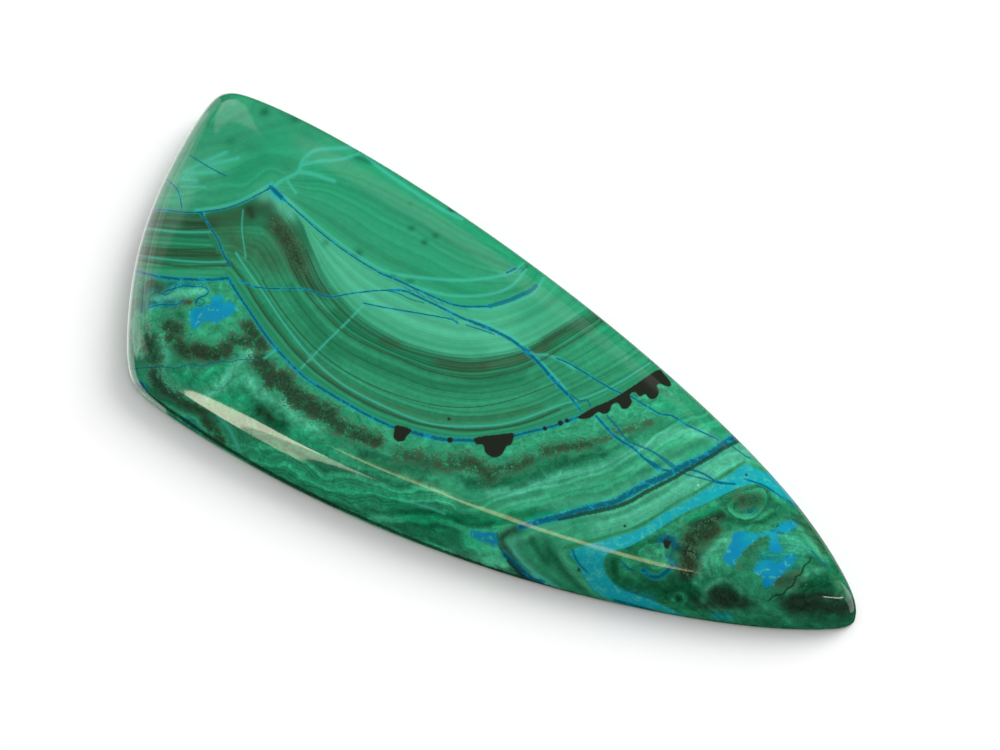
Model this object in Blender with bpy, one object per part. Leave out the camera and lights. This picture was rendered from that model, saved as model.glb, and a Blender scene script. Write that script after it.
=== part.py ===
"""A polished freeform cabochon of chrysocolla grown through with malachite, one solid stone.

The stone is a long rounded triangle in plan: a broad blunt end at -X, a long gently bowed far side
at +Y, a fuller near side at -Y, and a narrow tip at +X. Its underside is flat. A short upright girdle
stands on it, a steep polished shoulder rises from the girdle, and a low dome closes the top.
Everything is in metres, +Z up, with the origin under the middle of the stone's outline.
"""

import math

import bmesh
import bpy
import numpy as np

# Corners of the plan, before the corners are rounded.
FAR_CORNER = (-0.02967, 0.01270)
FAR_BEND = (0.02354, 0.00344)
TIP_CORNER = (0.03108, -0.00208)
NEAR_CORNER = (-0.02372, -0.01136)

# How far each side bows out from the straight line between its two corners.
FAR_SIDE_BOW = 0.00242
FAR_BEND_BOW = 0.00016
NEAR_SIDE_BOW = 0.00449
BLUNT_END_BOW = 0.00163

# Two short flats ground across the corners: how deep each goes, and the way it faces from +X.
NEAR_FLAT_DEPTH = 0.00077
NEAR_FLAT_FACING = math.radians(213.6)
TIP_FLAT_DEPTH = 0.00041
TIP_FLAT_FACING = math.radians(-50.0)

# One side runs into the next over about this distance.
CORNER_ROUNDING = 0.00072

# Heights of the section, from the underside to the top of the dome.
THICKNESS = 0.0054
GIRDLE_HEIGHT = 0.0008
FOOT_CHAMFER = 0.0002

# The shoulder rises steeply over its width and takes most of the rise above the girdle.
SHOULDER_WIDTH = 0.0020
SHOULDER_SHARE = 0.70
SHOULDER_FULLNESS = 2.3
SHOULDER_STEEPNESS = 1.9
DOME_REACH = 0.0095

# The rings of facets close in on a point inside the broad end, given as shares of the far, near and
# tip corners.
MIDDLE_SHARES = (0.35, 0.35, 0.30)

# Facets: points round the outline, and rings from the girdle in to the middle.
OUTLINE_POINTS = 144
RINGS = 16
FINE_OUTLINE_POINTS = 2880
BISECTION_STEPS = 48
SHARP_EDGE_ANGLE = math.radians(35.0)

STONE_NAME = "polished_stone"
STONE_GREEN = (0.05, 0.36, 0.22, 1.0)
POLISH_ROUGHNESS = 0.12


def clear_scene():
    """Remove every object of the open scene."""
    for scene_object in list(bpy.data.objects):
        bpy.data.objects.remove(scene_object, do_unlink=True)


def bowed_side(start, end, bow):
    """Centre and radius of the arc from start to end that bows out by bow, to the right of its run."""
    start = np.array(start)
    end = np.array(end)
    chord = end - start
    length = math.hypot(chord[0], chord[1])
    inward = np.array((chord[1], -chord[0])) / length
    radius = (length * length / 4.0 + bow * bow) / (2.0 * bow)
    return (start + end) / 2.0 + inward * (radius - bow), radius


def distance_inside_side(points, side):
    """Distance of each point inside a bowed side, negative outside it."""
    centre, radius = side
    return radius - np.hypot(points[..., 0] - centre[0], points[..., 1] - centre[1])


def distance_inside_flat(points, corner, depth, facing):
    """Distance of each point inside a flat ground across a corner, negative outside it."""
    outward = (math.cos(facing), math.sin(facing))
    reach = (points[..., 0] - corner[0]) * outward[0] + (points[..., 1] - corner[1]) * outward[1]
    return -depth - reach


def depth_from_edge(points):
    """Distance in from the stone's outline: a soft minimum of the distances inside every side."""
    distances = np.stack(
        (
            distance_inside_side(points, bowed_side(FAR_CORNER, FAR_BEND, FAR_SIDE_BOW)),
            distance_inside_side(points, bowed_side(FAR_BEND, TIP_CORNER, FAR_BEND_BOW)),
            distance_inside_side(points, bowed_side(TIP_CORNER, NEAR_CORNER, NEAR_SIDE_BOW)),
            distance_inside_side(points, bowed_side(NEAR_CORNER, FAR_CORNER, BLUNT_END_BOW)),
            distance_inside_flat(points, NEAR_CORNER, NEAR_FLAT_DEPTH, NEAR_FLAT_FACING),
            distance_inside_flat(points, TIP_CORNER, TIP_FLAT_DEPTH, TIP_FLAT_FACING),
        ),
        axis=-1,
    )
    nearest = distances.min(axis=-1)
    falling_off = np.exp((nearest[..., None] - distances) / CORNER_ROUNDING)
    return nearest - CORNER_ROUNDING * np.log(falling_off.sum(axis=-1))


def height_at(depth):
    """Height of the polished top over a point that lies depth in from the outline."""
    across_shoulder = np.clip(depth / SHOULDER_WIDTH, 0.0, 1.0)
    across_dome = np.clip(depth / DOME_REACH, 0.0, 1.0)
    shoulder = (1.0 - (1.0 - across_shoulder) ** SHOULDER_FULLNESS) ** (1.0 / SHOULDER_STEEPNESS)
    dome = 1.0 - (1.0 - across_dome) ** 2
    rise = SHOULDER_SHARE * shoulder + (1.0 - SHOULDER_SHARE) * dome
    return GIRDLE_HEIGHT + (THICKNESS - GIRDLE_HEIGHT) * rise


def middle_of_plan():
    """The point that the rings close in on, well inside the broad end."""
    return np.array(MIDDLE_SHARES) @ np.array((FAR_CORNER, NEAR_CORNER, TIP_CORNER))


def outline_along(angles, middle):
    """Points of the outline on the rays that leave the middle at the given angles, by bisection."""
    rays = np.stack((np.cos(angles), np.sin(angles)), axis=-1)
    inner = np.zeros(len(angles))
    outer = np.full(len(angles), abs(FAR_CORNER[0]) + abs(TIP_CORNER[0]))
    for _ in range(BISECTION_STEPS):
        halfway = (inner + outer) / 2.0
        is_inside = depth_from_edge(middle + rays * halfway[:, None]) > 0.0
        inner = np.where(is_inside, halfway, inner)
        outer = np.where(is_inside, outer, halfway)
    return middle + rays * inner[:, None]


def evenly_spaced_outline(middle):
    """The outline as points that are equally far apart along the stone's edge."""
    angles = np.linspace(0.0, 2.0 * math.pi, FINE_OUTLINE_POINTS + 1)
    fine = outline_along(angles, middle)
    steps = np.hypot(*np.diff(fine, axis=0).T)
    travelled = np.concatenate(((0.0,), np.cumsum(steps)))
    stops = np.linspace(0.0, travelled[-1], OUTLINE_POINTS, endpoint=False)
    return outline_along(np.interp(stops, travelled, angles), middle)


def ring_of_points(outline, height):
    """An outline in the plane as points at one height or at a height for each point."""
    heights = np.broadcast_to(height, (len(outline),))
    return np.column_stack((outline, heights))


def stone_rings():
    """Rings of points from the foot of the girdle up over the shoulder, and the top's middle point."""
    middle = middle_of_plan()
    outline = evenly_spaced_outline(middle)
    inward = middle - outline
    chamfer_share = FOOT_CHAMFER / np.hypot(*inward.T)
    foot = outline + inward * chamfer_share[:, None]
    rings = [ring_of_points(foot, 0.0), ring_of_points(outline, FOOT_CHAMFER)]
    for ring in range(RINGS):
        share_inward = (ring / RINGS) ** 2
        plan = outline + inward * share_inward
        depth = np.maximum(depth_from_edge(plan), 0.0)
        rings.append(ring_of_points(plan, height_at(depth)))
    top = (*middle, float(height_at(depth_from_edge(middle))))
    return rings, top, (*middle, 0.0)


def centred(rings, top, bottom):
    """Move the points so that the outline's box is centred on the origin."""
    outline = rings[1][:, :2]
    shift = np.append((outline.min(axis=0) + outline.max(axis=0)) / 2.0, 0.0)
    return [ring - shift for ring in rings], np.array(top) - shift, np.array(bottom) - shift


def stone_mesh():
    """One closed mesh: bands of facets between the rings, and a fan on the top and the underside."""
    rings, top, bottom = centred(*stone_rings())
    builder = bmesh.new()
    loops = [[builder.verts.new(point) for point in ring] for ring in rings]
    top_vertex = builder.verts.new(top)
    bottom_vertex = builder.verts.new(bottom)
    for lower, upper in zip(loops, loops[1:]):
        for index in range(OUTLINE_POINTS):
            following = (index + 1) % OUTLINE_POINTS
            builder.faces.new((lower[index], lower[following], upper[following], upper[index]))
    for index in range(OUTLINE_POINTS):
        following = (index + 1) % OUTLINE_POINTS
        builder.faces.new((loops[-1][index], loops[-1][following], top_vertex))
        builder.faces.new((loops[0][following], loops[0][index], bottom_vertex))
    bmesh.ops.triangulate(builder, faces=builder.faces[:], quad_method="SHORT_EDGE")
    bmesh.ops.recalc_face_normals(builder, faces=builder.faces[:])
    mesh = bpy.data.meshes.new(STONE_NAME)
    builder.to_mesh(mesh)
    builder.free()
    mesh.shade_smooth()
    mesh.set_sharp_from_angle(angle=SHARP_EDGE_ANGLE)
    return mesh


def polished_green():
    """The stone's own colour in one shade, with a lapidary's polish."""
    material = bpy.data.materials.new("chrysocolla_and_malachite")
    material.use_nodes = True
    surface = material.node_tree.nodes["Principled BSDF"]
    surface.inputs["Base Color"].default_value = STONE_GREEN
    surface.inputs["Roughness"].default_value = POLISH_ROUGHNESS
    surface.inputs["Metallic"].default_value = 0.0
    return material


def build_stone():
    """Put the stone into the scene as one named object."""
    stone = bpy.data.objects.new(STONE_NAME, stone_mesh())
    stone.data.materials.append(polished_green())
    bpy.context.scene.collection.objects.link(stone)


clear_scene()
build_stone()
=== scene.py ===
"""The looks of a polished chrysocolla and malachite cabochon, on a pale table in studio light.

The stone's form repeats the solid that it stands for, with a fine surface. Its pattern is drawn along
the camera's lines of sight, so every band, vein and patch runs on into the stone, as the real growth
does, and comes out again on the sides and the back. Places in the drawing are pixels of the view,
which is 1000 wide and 750 high.
"""

import logging
import math
from dataclasses import dataclass, field
from enum import Enum
from typing import Sequence

import bpy
import numpy as np
from mathutils import Euler, Matrix

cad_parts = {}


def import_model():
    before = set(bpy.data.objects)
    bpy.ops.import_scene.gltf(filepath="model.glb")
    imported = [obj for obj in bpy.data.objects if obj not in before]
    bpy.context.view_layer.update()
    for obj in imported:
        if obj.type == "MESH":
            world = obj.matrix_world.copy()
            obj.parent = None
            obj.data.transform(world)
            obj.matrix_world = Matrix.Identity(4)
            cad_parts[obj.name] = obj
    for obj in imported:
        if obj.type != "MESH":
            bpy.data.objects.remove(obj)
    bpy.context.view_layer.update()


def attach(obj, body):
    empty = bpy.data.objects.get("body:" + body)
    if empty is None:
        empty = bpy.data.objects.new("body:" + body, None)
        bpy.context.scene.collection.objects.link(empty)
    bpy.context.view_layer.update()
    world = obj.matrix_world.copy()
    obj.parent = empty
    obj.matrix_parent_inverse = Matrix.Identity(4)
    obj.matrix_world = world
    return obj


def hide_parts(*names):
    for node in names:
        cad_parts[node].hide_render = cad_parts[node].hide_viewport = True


Place = tuple[float, float]
Span = tuple[float, float]
Socket = bpy.types.NodeSocket
Sockets = bpy.types.bpy_prop_collection
Value = Socket | float | tuple

LOG = logging.getLogger("cabochon")
NODE_NAME = "polished_stone"
VIEW_WIDTH = 1000
VIEW_HEIGHT = 750
WAVE_COUNT = 8  # sine waves in a wandering field
SHORTEST = 1e-9  # least length of a piece of a course, in pixels, which keeps a division from zero
LEAST_GAP = 1e-6  # least distance between two guide lines, in pixels, for the same reason
EASE_PIECES = 4  # straight pieces between two corners of an eased outline
GUIDE_PIECES = 3  # straight pieces between two places of a guide line
MIX_FIRST = 6  # the mix node's input for its first colour
MIX_SECOND = 7  # its input for the second colour
MIX_RESULT = 2  # its output for the mixed colour


class Shade(Enum):
    """The stone's colours as they look in daylight, as red, green and blue from 0 to 255."""

    PALE_GREEN = (72, 170, 130)
    LEAF_GREEN = (48, 146, 106)
    SEA_GREEN = (30, 152, 106)
    MID_GREEN = (38, 128, 90)
    BAND_GREEN = (30, 106, 72)
    TRUE_GREEN = (14, 120, 78)
    DEEP_GREEN = (14, 82, 52)
    PALE_OLIVE = (62, 106, 78)
    OLIVE = (52, 96, 64)
    DARK_OLIVE = (46, 72, 48)
    SOOT_OLIVE = (30, 54, 38)
    BROWN = (66, 58, 42)
    NEAR_BLACK = (34, 40, 32)
    BRIGHT_BLUE = (0, 134, 178)
    VEIN_BLUE = (2, 98, 126)
    DEEP_BLUE = (6, 78, 104)
    TURQUOISE = (14, 164, 172)
    PALE_TURQUOISE = (70, 190, 166)
    MINT = (84, 184, 150)
    WHITE_PIT = (196, 206, 190)

    @property
    def paint(self) -> tuple[float, float, float, float]:
        """The colour as linear light, with full cover."""
        return tuple(to_linear(part / 255.0) for part in self.value) + (1.0,)


def to_linear(level: float) -> float:
    """Linear light for a display level: level / 12.92 if low, else ((level + 0.055) / 1.055) ^ 2.4.

    Args:
        level: The display level, from 0 to 1.

    Returns:
        The linear light, from 0 to 1.
    """
    if level <= 0.04045:
        return level / 12.92
    return ((level + 0.055) / 1.055) ** 2.4


@dataclass(frozen=True)
class Bow:
    """One side of the plan: an arc between two corners that bows out to the right of its run.

    Attributes:
        start: Where the side starts, in metres.
        end: Where it ends.
        bow: How far it stands out from its chord.
    """

    start: Place
    end: Place
    bow: float

    def distance_inside(self, plan: np.ndarray) -> np.ndarray:
        """How far each point is inside the side: the radius less the distance from the arc's centre.

        Args:
            plan: Points in plan, in metres, with x and y last.

        Returns:
            The distance for each point, negative outside.
        """
        start = np.array(self.start)
        end = np.array(self.end)
        chord = end - start
        length = math.hypot(*chord)
        inward = np.array((chord[1], -chord[0])) / length
        radius = (length * length / 4.0 + self.bow * self.bow) / (2.0 * self.bow)
        centre = (start + end) / 2.0 + inward * (radius - self.bow)
        return radius - np.hypot(plan[..., 0] - centre[0], plan[..., 1] - centre[1])


@dataclass(frozen=True)
class Flat:
    """A short flat ground across a corner of the plan.

    Attributes:
        corner: The corner it cuts, in metres.
        depth: How far in from the corner it is ground.
        facing: The way it faces, in degrees from +X.
    """

    corner: Place
    depth: float
    facing: float

    def distance_inside(self, plan: np.ndarray) -> np.ndarray:
        """Distance behind the flat's line, by the dot product with the way it faces.

        Args:
            plan: Points in plan, in metres, with x and y last.

        Returns:
            The distance for each point, negative in front of the flat.
        """
        turn = math.radians(self.facing)
        along = (plan[..., 0] - self.corner[0]) * math.cos(turn)
        across = (plan[..., 1] - self.corner[1]) * math.sin(turn)
        return -self.depth - along - across


@dataclass
class StoneForm:
    """The cabochon's own form: a bowed plan, an upright girdle, a steep shoulder and a low dome.

    Attributes are sizes in metres, apart from the angles in degrees, the counts and the shares. Steps of
    the grid are shares of its length and its width, and rays to the outline start from the middle.
    """

    far_corner: Place = (-0.02967, 0.01270)
    far_bend: Place = (0.02354, 0.00344)
    tip_corner: Place = (0.03108, -0.00208)
    near_corner: Place = (-0.02372, -0.01136)
    far_bow: float = 0.00242
    bend_bow: float = 0.00016
    near_bow: float = 0.00449
    blunt_bow: float = 0.00163
    near_flat_depth: float = 0.00077
    near_flat_facing: float = 213.6
    tip_flat_depth: float = 0.00041
    tip_flat_facing: float = -50.0
    corner_rounding: float = 0.00072
    thickness: float = 0.0054
    girdle_height: float = 0.0008
    foot_chamfer: float = 0.0002
    shoulder_width: float = 0.0020
    shoulder_share: float = 0.70
    shoulder_fullness: float = 2.3
    shoulder_steepness: float = 1.9
    dome_reach: float = 0.0095
    middle_shares: tuple[float, float, float] = (0.35, 0.35, 0.30)
    lines_along: int = 385
    lines_across: int = 187
    edge_lines: int = 8
    first_step: float = 0.0000075
    grid_length: float = 0.0592
    grid_width: float = 0.0247
    tip_half_angle: float = 1.2
    outline_samples: int = 2880
    side_samples: int = 2000
    halvings: int = 44
    girdle_rings: int = 3
    back_inset: float = 0.97
    shift: np.ndarray = field(default_factory=lambda: np.zeros(2))

    def __post_init__(self) -> None:
        """Put the middle of the outline's box on the origin, as the solid has it."""
        around = self.outline(np.linspace(0.0, 2.0 * math.pi, self.outline_samples, endpoint=False))
        self.shift = (around.min(axis=0) + around.max(axis=0)) / 2.0

    @property
    def middle(self) -> np.ndarray:
        """A point well inside the broad end, as shares of the three main corners."""
        corners = np.array((self.far_corner, self.near_corner, self.tip_corner))
        return np.array(self.middle_shares) @ corners

    def depth_from_edge(self, plan: np.ndarray) -> np.ndarray:
        """Distance in from the outline: the soft minimum, -k log sum exp(-d / k), over all sides.

        Args:
            plan: Points in plan, in metres, with x and y last.

        Returns:
            The distance for each point, negative outside the stone.
        """
        sides = (
            Bow(self.far_corner, self.far_bend, self.far_bow),
            Bow(self.far_bend, self.tip_corner, self.bend_bow),
            Bow(self.tip_corner, self.near_corner, self.near_bow),
            Bow(self.near_corner, self.far_corner, self.blunt_bow),
            Flat(self.near_corner, self.near_flat_depth, self.near_flat_facing),
            Flat(self.tip_corner, self.tip_flat_depth, self.tip_flat_facing),
        )
        distances = np.stack([side.distance_inside(plan) for side in sides], axis=-1)
        nearest = distances.min(axis=-1)
        falling = np.exp((nearest[..., None] - distances) / self.corner_rounding)
        return nearest - self.corner_rounding * np.log(falling.sum(axis=-1))

    def height_at(self, depth: np.ndarray) -> np.ndarray:
        """Height of the top: a steep power curve over the shoulder plus a parabola over the dome.

        The shoulder is (1 - (1 - s) ^ fullness) ^ (1 / steepness) and the dome 1 - (1 - d) ^ 2, with
        s and d the depth as a share of the shoulder's width and of the dome's reach.

        Args:
            depth: Distance in from the outline, in metres.

        Returns:
            The height for each depth, in metres.
        """
        across_shoulder = np.clip(depth / self.shoulder_width, 0.0, 1.0)
        across_dome = np.clip(depth / self.dome_reach, 0.0, 1.0)
        falling = (1.0 - across_shoulder) ** self.shoulder_fullness
        shoulder = (1.0 - falling) ** (1.0 / self.shoulder_steepness)
        dome = 1.0 - (1.0 - across_dome) ** 2
        rise = self.shoulder_share * shoulder + (1.0 - self.shoulder_share) * dome
        return self.girdle_height + (self.thickness - self.girdle_height) * rise

    def outline(self, angles: np.ndarray) -> np.ndarray:
        """Points of the outline on rays from the middle, found by halving the stretch that holds them.

        Args:
            angles: The rays' angles from +X.

        Returns:
            A point in plan for each angle, in metres.
        """
        rays = np.stack((np.cos(angles), np.sin(angles)), axis=-1)
        inner = np.zeros(len(angles))
        outer = np.full(len(angles), abs(self.far_corner[0]) + abs(self.tip_corner[0]))
        for _ in range(self.halvings):
            halfway = (inner + outer) / 2.0
            is_inside = self.depth_from_edge(self.middle + rays * halfway[:, None]) > 0.0
            inner = np.where(is_inside, halfway, inner)
            outer = np.where(is_inside, outer, halfway)
        return self.middle + rays * inner[:, None]

    def angle_to(self, corner: Place) -> float:
        """Angle of the ray from the middle to a corner, from 0 to a full turn."""
        return math.atan2(corner[1] - self.middle[1], corner[0] - self.middle[0]) % (2.0 * math.pi)

    def side(self, start: float, end: float, shares: np.ndarray) -> np.ndarray:
        """Points along the outline between two angles.

        Args:
            start: The angle that the side starts at.
            end: The angle that it ends at.
            shares: Shares of the length between them.

        Returns:
            A point in plan for each share, in metres.
        """
        angles = np.linspace(start, end, self.side_samples)
        fine = self.outline(angles)
        travelled = np.concatenate(((0.0,), np.cumsum(np.hypot(*np.diff(fine, axis=0).T))))
        return self.outline(np.interp(shares * travelled[-1], travelled, angles))

    def spacing(self, lines: int, length: float) -> np.ndarray:
        """Shares of a side whose steps start fine, grow as the square, and are even in between.

        Args:
            lines: How many lines the grid has.
            length: Length that the steps are shares of, in metres.

        Returns:
            The shares, from 0 to 1.
        """
        edge = self.first_step * np.arange(self.edge_lines + 1) ** 2 / length
        even = np.linspace(edge[-1], 1.0 - edge[-1], lines - 2 * self.edge_lines)
        return np.concatenate((edge[:-1], even, 1.0 - edge[-2::-1]))

    def plan_grid(self) -> np.ndarray:
        """A grid over the plan, blended from the four sides of the outline (a Coons patch).

        Returns:
            Points in plan, as lines across by lines along by 2.
        """
        turn = 2.0 * math.pi
        tip = self.angle_to(self.tip_corner) - turn
        half = math.radians(self.tip_half_angle)
        far = self.angle_to(self.far_corner)
        near = self.angle_to(self.near_corner)
        along = self.spacing(self.lines_along, self.grid_length)
        across = self.spacing(self.lines_across, self.grid_width)
        near_side = self.side(near - turn, tip - half, along)
        far_side = self.side(far, tip + half, along)
        blunt_end = self.side(near, far, across)
        tip_end = self.side(tip - half, tip + half, across)
        s = along[None, :, None]
        t = across[:, None, None]
        between_long = (1.0 - t) * near_side[None] + t * far_side[None]
        between_short = (1.0 - s) * blunt_end[:, None] + s * tip_end[:, None]
        near_corners = (1.0 - s) * near_side[0] + s * near_side[-1]
        far_corners = (1.0 - s) * far_side[0] + s * far_side[-1]
        return between_long + between_short - (1.0 - t) * near_corners - t * far_corners

    def vertices_and_faces(self) -> tuple[np.ndarray, list]:
        """The whole closed surface.

        The top is the plan grid lifted by the height over its depth. Rings carry its border down the
        girdle to the foot. A ring of triangles then halves the count of points, and a grid of every
        other line closes the flat back.

        Returns:
            The vertices, in metres, and the faces as lists of vertex numbers.
        """
        plan = self.plan_grid()
        rows, columns = plan.shape[:2]
        numbers = np.arange(rows * columns).reshape(rows, columns)
        depth = np.maximum(self.depth_from_edge(plan), 0.0)
        top = np.dstack((plan, self.height_at(depth)))
        top[border_of(numbers) // columns, border_of(numbers) % columns, 2] = self.girdle_height
        border = border_of(numbers)
        edge = plan.reshape(-1, 2)[border]
        inward = self.middle - edge
        blocks = [top.reshape(-1, 3)]
        faces = grid_faces(numbers)
        ring = border
        count = rows * columns
        drops = np.linspace(self.girdle_height, self.foot_chamfer, self.girdle_rings + 1)[1:]
        foot = edge + inward * (self.foot_chamfer / np.hypot(*inward.T))[:, None]
        for level, flat in [(drop, edge) for drop in drops] + [(0.0, foot)]:
            blocks.append(np.column_stack((flat, np.full(len(flat), level))))
            following = np.arange(count, count + len(border))
            faces += ring_faces(ring, following)
            ring = following
            count += len(border)
        back = self.middle + (plan[::2, ::2] - self.middle) * self.back_inset
        back_numbers = np.arange(count, count + back.shape[0] * back.shape[1]).reshape(back.shape[:2])
        blocks.append(np.column_stack((back.reshape(-1, 2), np.zeros(back_numbers.size))))
        faces += halving_faces(ring, border_of(back_numbers))
        faces += grid_faces(back_numbers[::-1])
        vertices = np.concatenate(blocks)
        vertices[:, :2] -= self.shift
        return vertices, faces


def border_of(numbers: np.ndarray) -> np.ndarray:
    """Vertex numbers round a grid's border, anticlockwise from its first corner."""
    return np.concatenate((numbers[0, :-1], numbers[:-1, -1], numbers[-1, :0:-1], numbers[:0:-1, 0]))


def grid_faces(numbers: np.ndarray) -> list:
    """Four-sided faces between a grid's neighbouring lines."""
    corners = (numbers[:-1, :-1], numbers[:-1, 1:], numbers[1:, 1:], numbers[1:, :-1])
    return np.stack(corners, axis=-1).reshape(-1, 4).tolist()


def ring_faces(upper: np.ndarray, lower: np.ndarray) -> list:
    """Four-sided faces between a ring and the ring below it."""
    corners = (upper, lower, np.roll(lower, -1), np.roll(upper, -1))
    return np.stack(corners, axis=-1).tolist()


def halving_faces(outer: np.ndarray, inner: np.ndarray) -> list:
    """Triangles from a ring to one with half as many points: three to each point of the inner ring.

    Args:
        outer: Vertex numbers of the ring.
        inner: Vertex numbers of the ring with half as many.

    Returns:
        The triangles.
    """
    first = outer[0::2]
    second = outer[1::2]
    third = np.roll(first, -1)
    following = np.roll(inner, -1)
    triangles = ((first, inner, second), (second, inner, following), (second, following, third))
    return np.concatenate([np.stack(corners, axis=-1) for corners in triangles]).tolist()


@dataclass(frozen=True)
class Stroke:
    """A line of one width, smoothed through its places.

    Attributes:
        course: The places that it runs through, in pixels of the view.
        half_width: Half its width, in pixels.
        fade: Share of the half width left at its ends.
    """

    course: tuple[Place, ...]
    half_width: float = 1.0
    fade: float = 1.0


@dataclass(frozen=True)
class Wash:
    """A soft stroke of one shade over the ground tone.

    Attributes:
        shade: Its colour.
        course: The places that it runs through.
        reach: Distance in pixels over which it fades.
        cover: Its cover at the middle, from 0 to 1.
    """

    shade: Shade
    course: tuple[Place, ...]
    reach: float = 8.0
    cover: float = 0.8


@dataclass(frozen=True)
class Zone:
    """A region of the ground tone with an edge of its own softness.

    Attributes:
        shade: Its colour.
        outline: Its corners, in pixels of the view.
        softness: Width of its edge, in pixels.
        cover: Its cover, from 0 to 1.
    """

    shade: Shade
    outline: tuple[Place, ...]
    softness: float = 3.0
    cover: float = 1.0


@dataclass(frozen=True)
class Orb:
    """Growth rings round a centre.

    Attributes:
        centre: Where they start.
        reach: Radius of the outermost ring, in pixels.
        ring: Width of one ring, in pixels.
        squeeze: Height of a ring as a share of its width.
        strength: How strongly they show, from 0 to 1.
    """

    centre: Place
    reach: float
    ring: float = 6.0
    squeeze: float = 0.85
    strength: float = 0.6


@dataclass(frozen=True)
class Layering:
    """Growth layers inside an outline, shared out between neighbouring guide lines.

    Attributes:
        outline: The region that they fill.
        guides: Lines in order of growth.
        counts: Layers between each two neighbouring guides.
        strengths: How strongly they show between each two guides, from 0 to 1.
        sway: How far they wander, in layers.
    """

    outline: tuple[Place, ...]
    guides: tuple[tuple[Place, ...], ...]
    counts: tuple[float, ...]
    strengths: tuple[float, ...]
    sway: float = 0.25


class Courses:
    """Places shared by several strokes and zones: the main borders between the stone's growths."""

    CROWN_SEAM = (
        (118, 208), (150, 208.5), (190, 212.5), (220, 209.5), (240, 203.5), (260, 193.5), (270, 188),
    )
    BOWL_RIM = (
        (281, 197), (300, 214), (320, 232), (340, 247.5), (360, 261), (380, 273), (402, 282.3),
        (418, 290), (447, 302.5), (465, 306.5), (490, 306.3), (510, 300), (530, 291), (540, 280),
        (545, 266), (548, 240),
    )
    MOSS_SEAM_LEFT = ((118, 267), (138, 271.5), (160, 277), (190, 279.3), (212, 279.5), (228, 278))
    MOSS_SEAM = (
        (228, 278), (238, 294), (250, 312), (270, 341), (286, 359), (305, 377.5), (338, 398.3),
        (371, 417), (394, 427.5), (412, 432), (447, 439.7), (475, 440.5), (513, 436), (545, 428.5),
        (575, 418), (592, 408), (610, 400), (630, 388), (657, 369), (678, 346), (700, 310),
    )
    SHORE_LEFT = ((118, 255), (140, 260), (180, 266), (229, 265.5))
    SHORE = (
        (226, 258), (244, 281), (256, 301), (273, 325), (300, 357), (329, 381), (371, 405.5),
        (404.5, 419), (430, 426), (465, 430), (500, 428), (531, 421), (560, 409), (587.5, 398.7),
        (625, 380), (650, 364.5), (668, 346), (690, 306),
    )
    SHORE_LIGHT_LEFT = ((118, 252), (160, 258.5), (200, 262), (228, 261.5))
    SHORE_LIGHT = (
        (236, 253), (247, 270), (262, 291), (285, 325), (310, 356), (338, 381), (371, 400), (416, 419.5),
        (450, 426), (490, 425.5), (520, 420), (560, 405), (590, 396), (620, 382), (650, 363),
    )
    BELT_OUTER = (
        (205, 228), (232, 226), (258, 226), (273, 232), (285, 251), (297, 277), (312, 300), (340, 329),
        (367, 345), (400, 359), (430, 371), (470, 378.5), (500, 375), (530, 366), (565, 346), (595, 327),
        (612, 312), (636, 280),
    )
    BELT_INNER = (
        (296, 214), (303, 225), (310, 245), (328, 285), (360, 320), (400, 344), (440, 355), (475, 359),
        (520, 352), (550, 336), (590, 312), (604, 300), (622, 272),
    )
    WEDGE_VEIN = ((200, 212), (210, 227), (218, 240), (224, 255), (230, 266))
    SHOULDER_BLUE = (
        (520, 527), (545, 520), (560, 516.5), (587, 508.5), (613, 502.5), (627, 495), (645, 485),
        (668, 474.5), (684, 465.5), (700, 459), (716, 449.5), (730, 440), (760, 424), (800, 396),
    )
    SHOULDER_BLACK = (
        (558, 520), (579, 515), (605, 509.5), (628, 502.5), (645, 492.5), (668, 481), (690, 468.5),
        (711, 456.5), (728, 446), (760, 430), (800, 404),
    )
    CHEVRON_TOP = (
        (800, 420), (740, 445.5), (723.7, 448.7), (700, 466.5), (670, 482), (640, 497), (620, 508.5),
        (590, 514), (563.8, 522.7), (540, 529), (520, 537), (508.5, 543),
    )
    CHEVRON_FOOT = ((508.5, 543), (518, 557), (530, 569), (550, 583), (566, 592), (600, 612))
    SEA_UPPER = (
        (870, 556), (820, 506), (770, 474.5), (757, 470), (746, 464), (735, 472), (710, 487), (680, 505),
        (664, 513), (642, 528), (612.8, 538), (571, 551),
    )
    SEA_UPPER_FOOT = (
        (571, 551), (577, 563), (585, 578), (600, 595), (640, 605.6), (665.8, 611.4), (700, 632),
    )
    SEA_LOWER = (
        (860, 570), (812, 516), (790, 500), (773, 490), (757, 484), (740, 487), (710, 501),
        (680, 515), (660, 528), (632, 545), (607, 554),
    )
    SEA_LOWER_FOOT = (
        (607, 554), (604, 570), (619, 588), (647, 598.6), (672, 610), (690, 619), (712, 634),
    )


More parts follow.
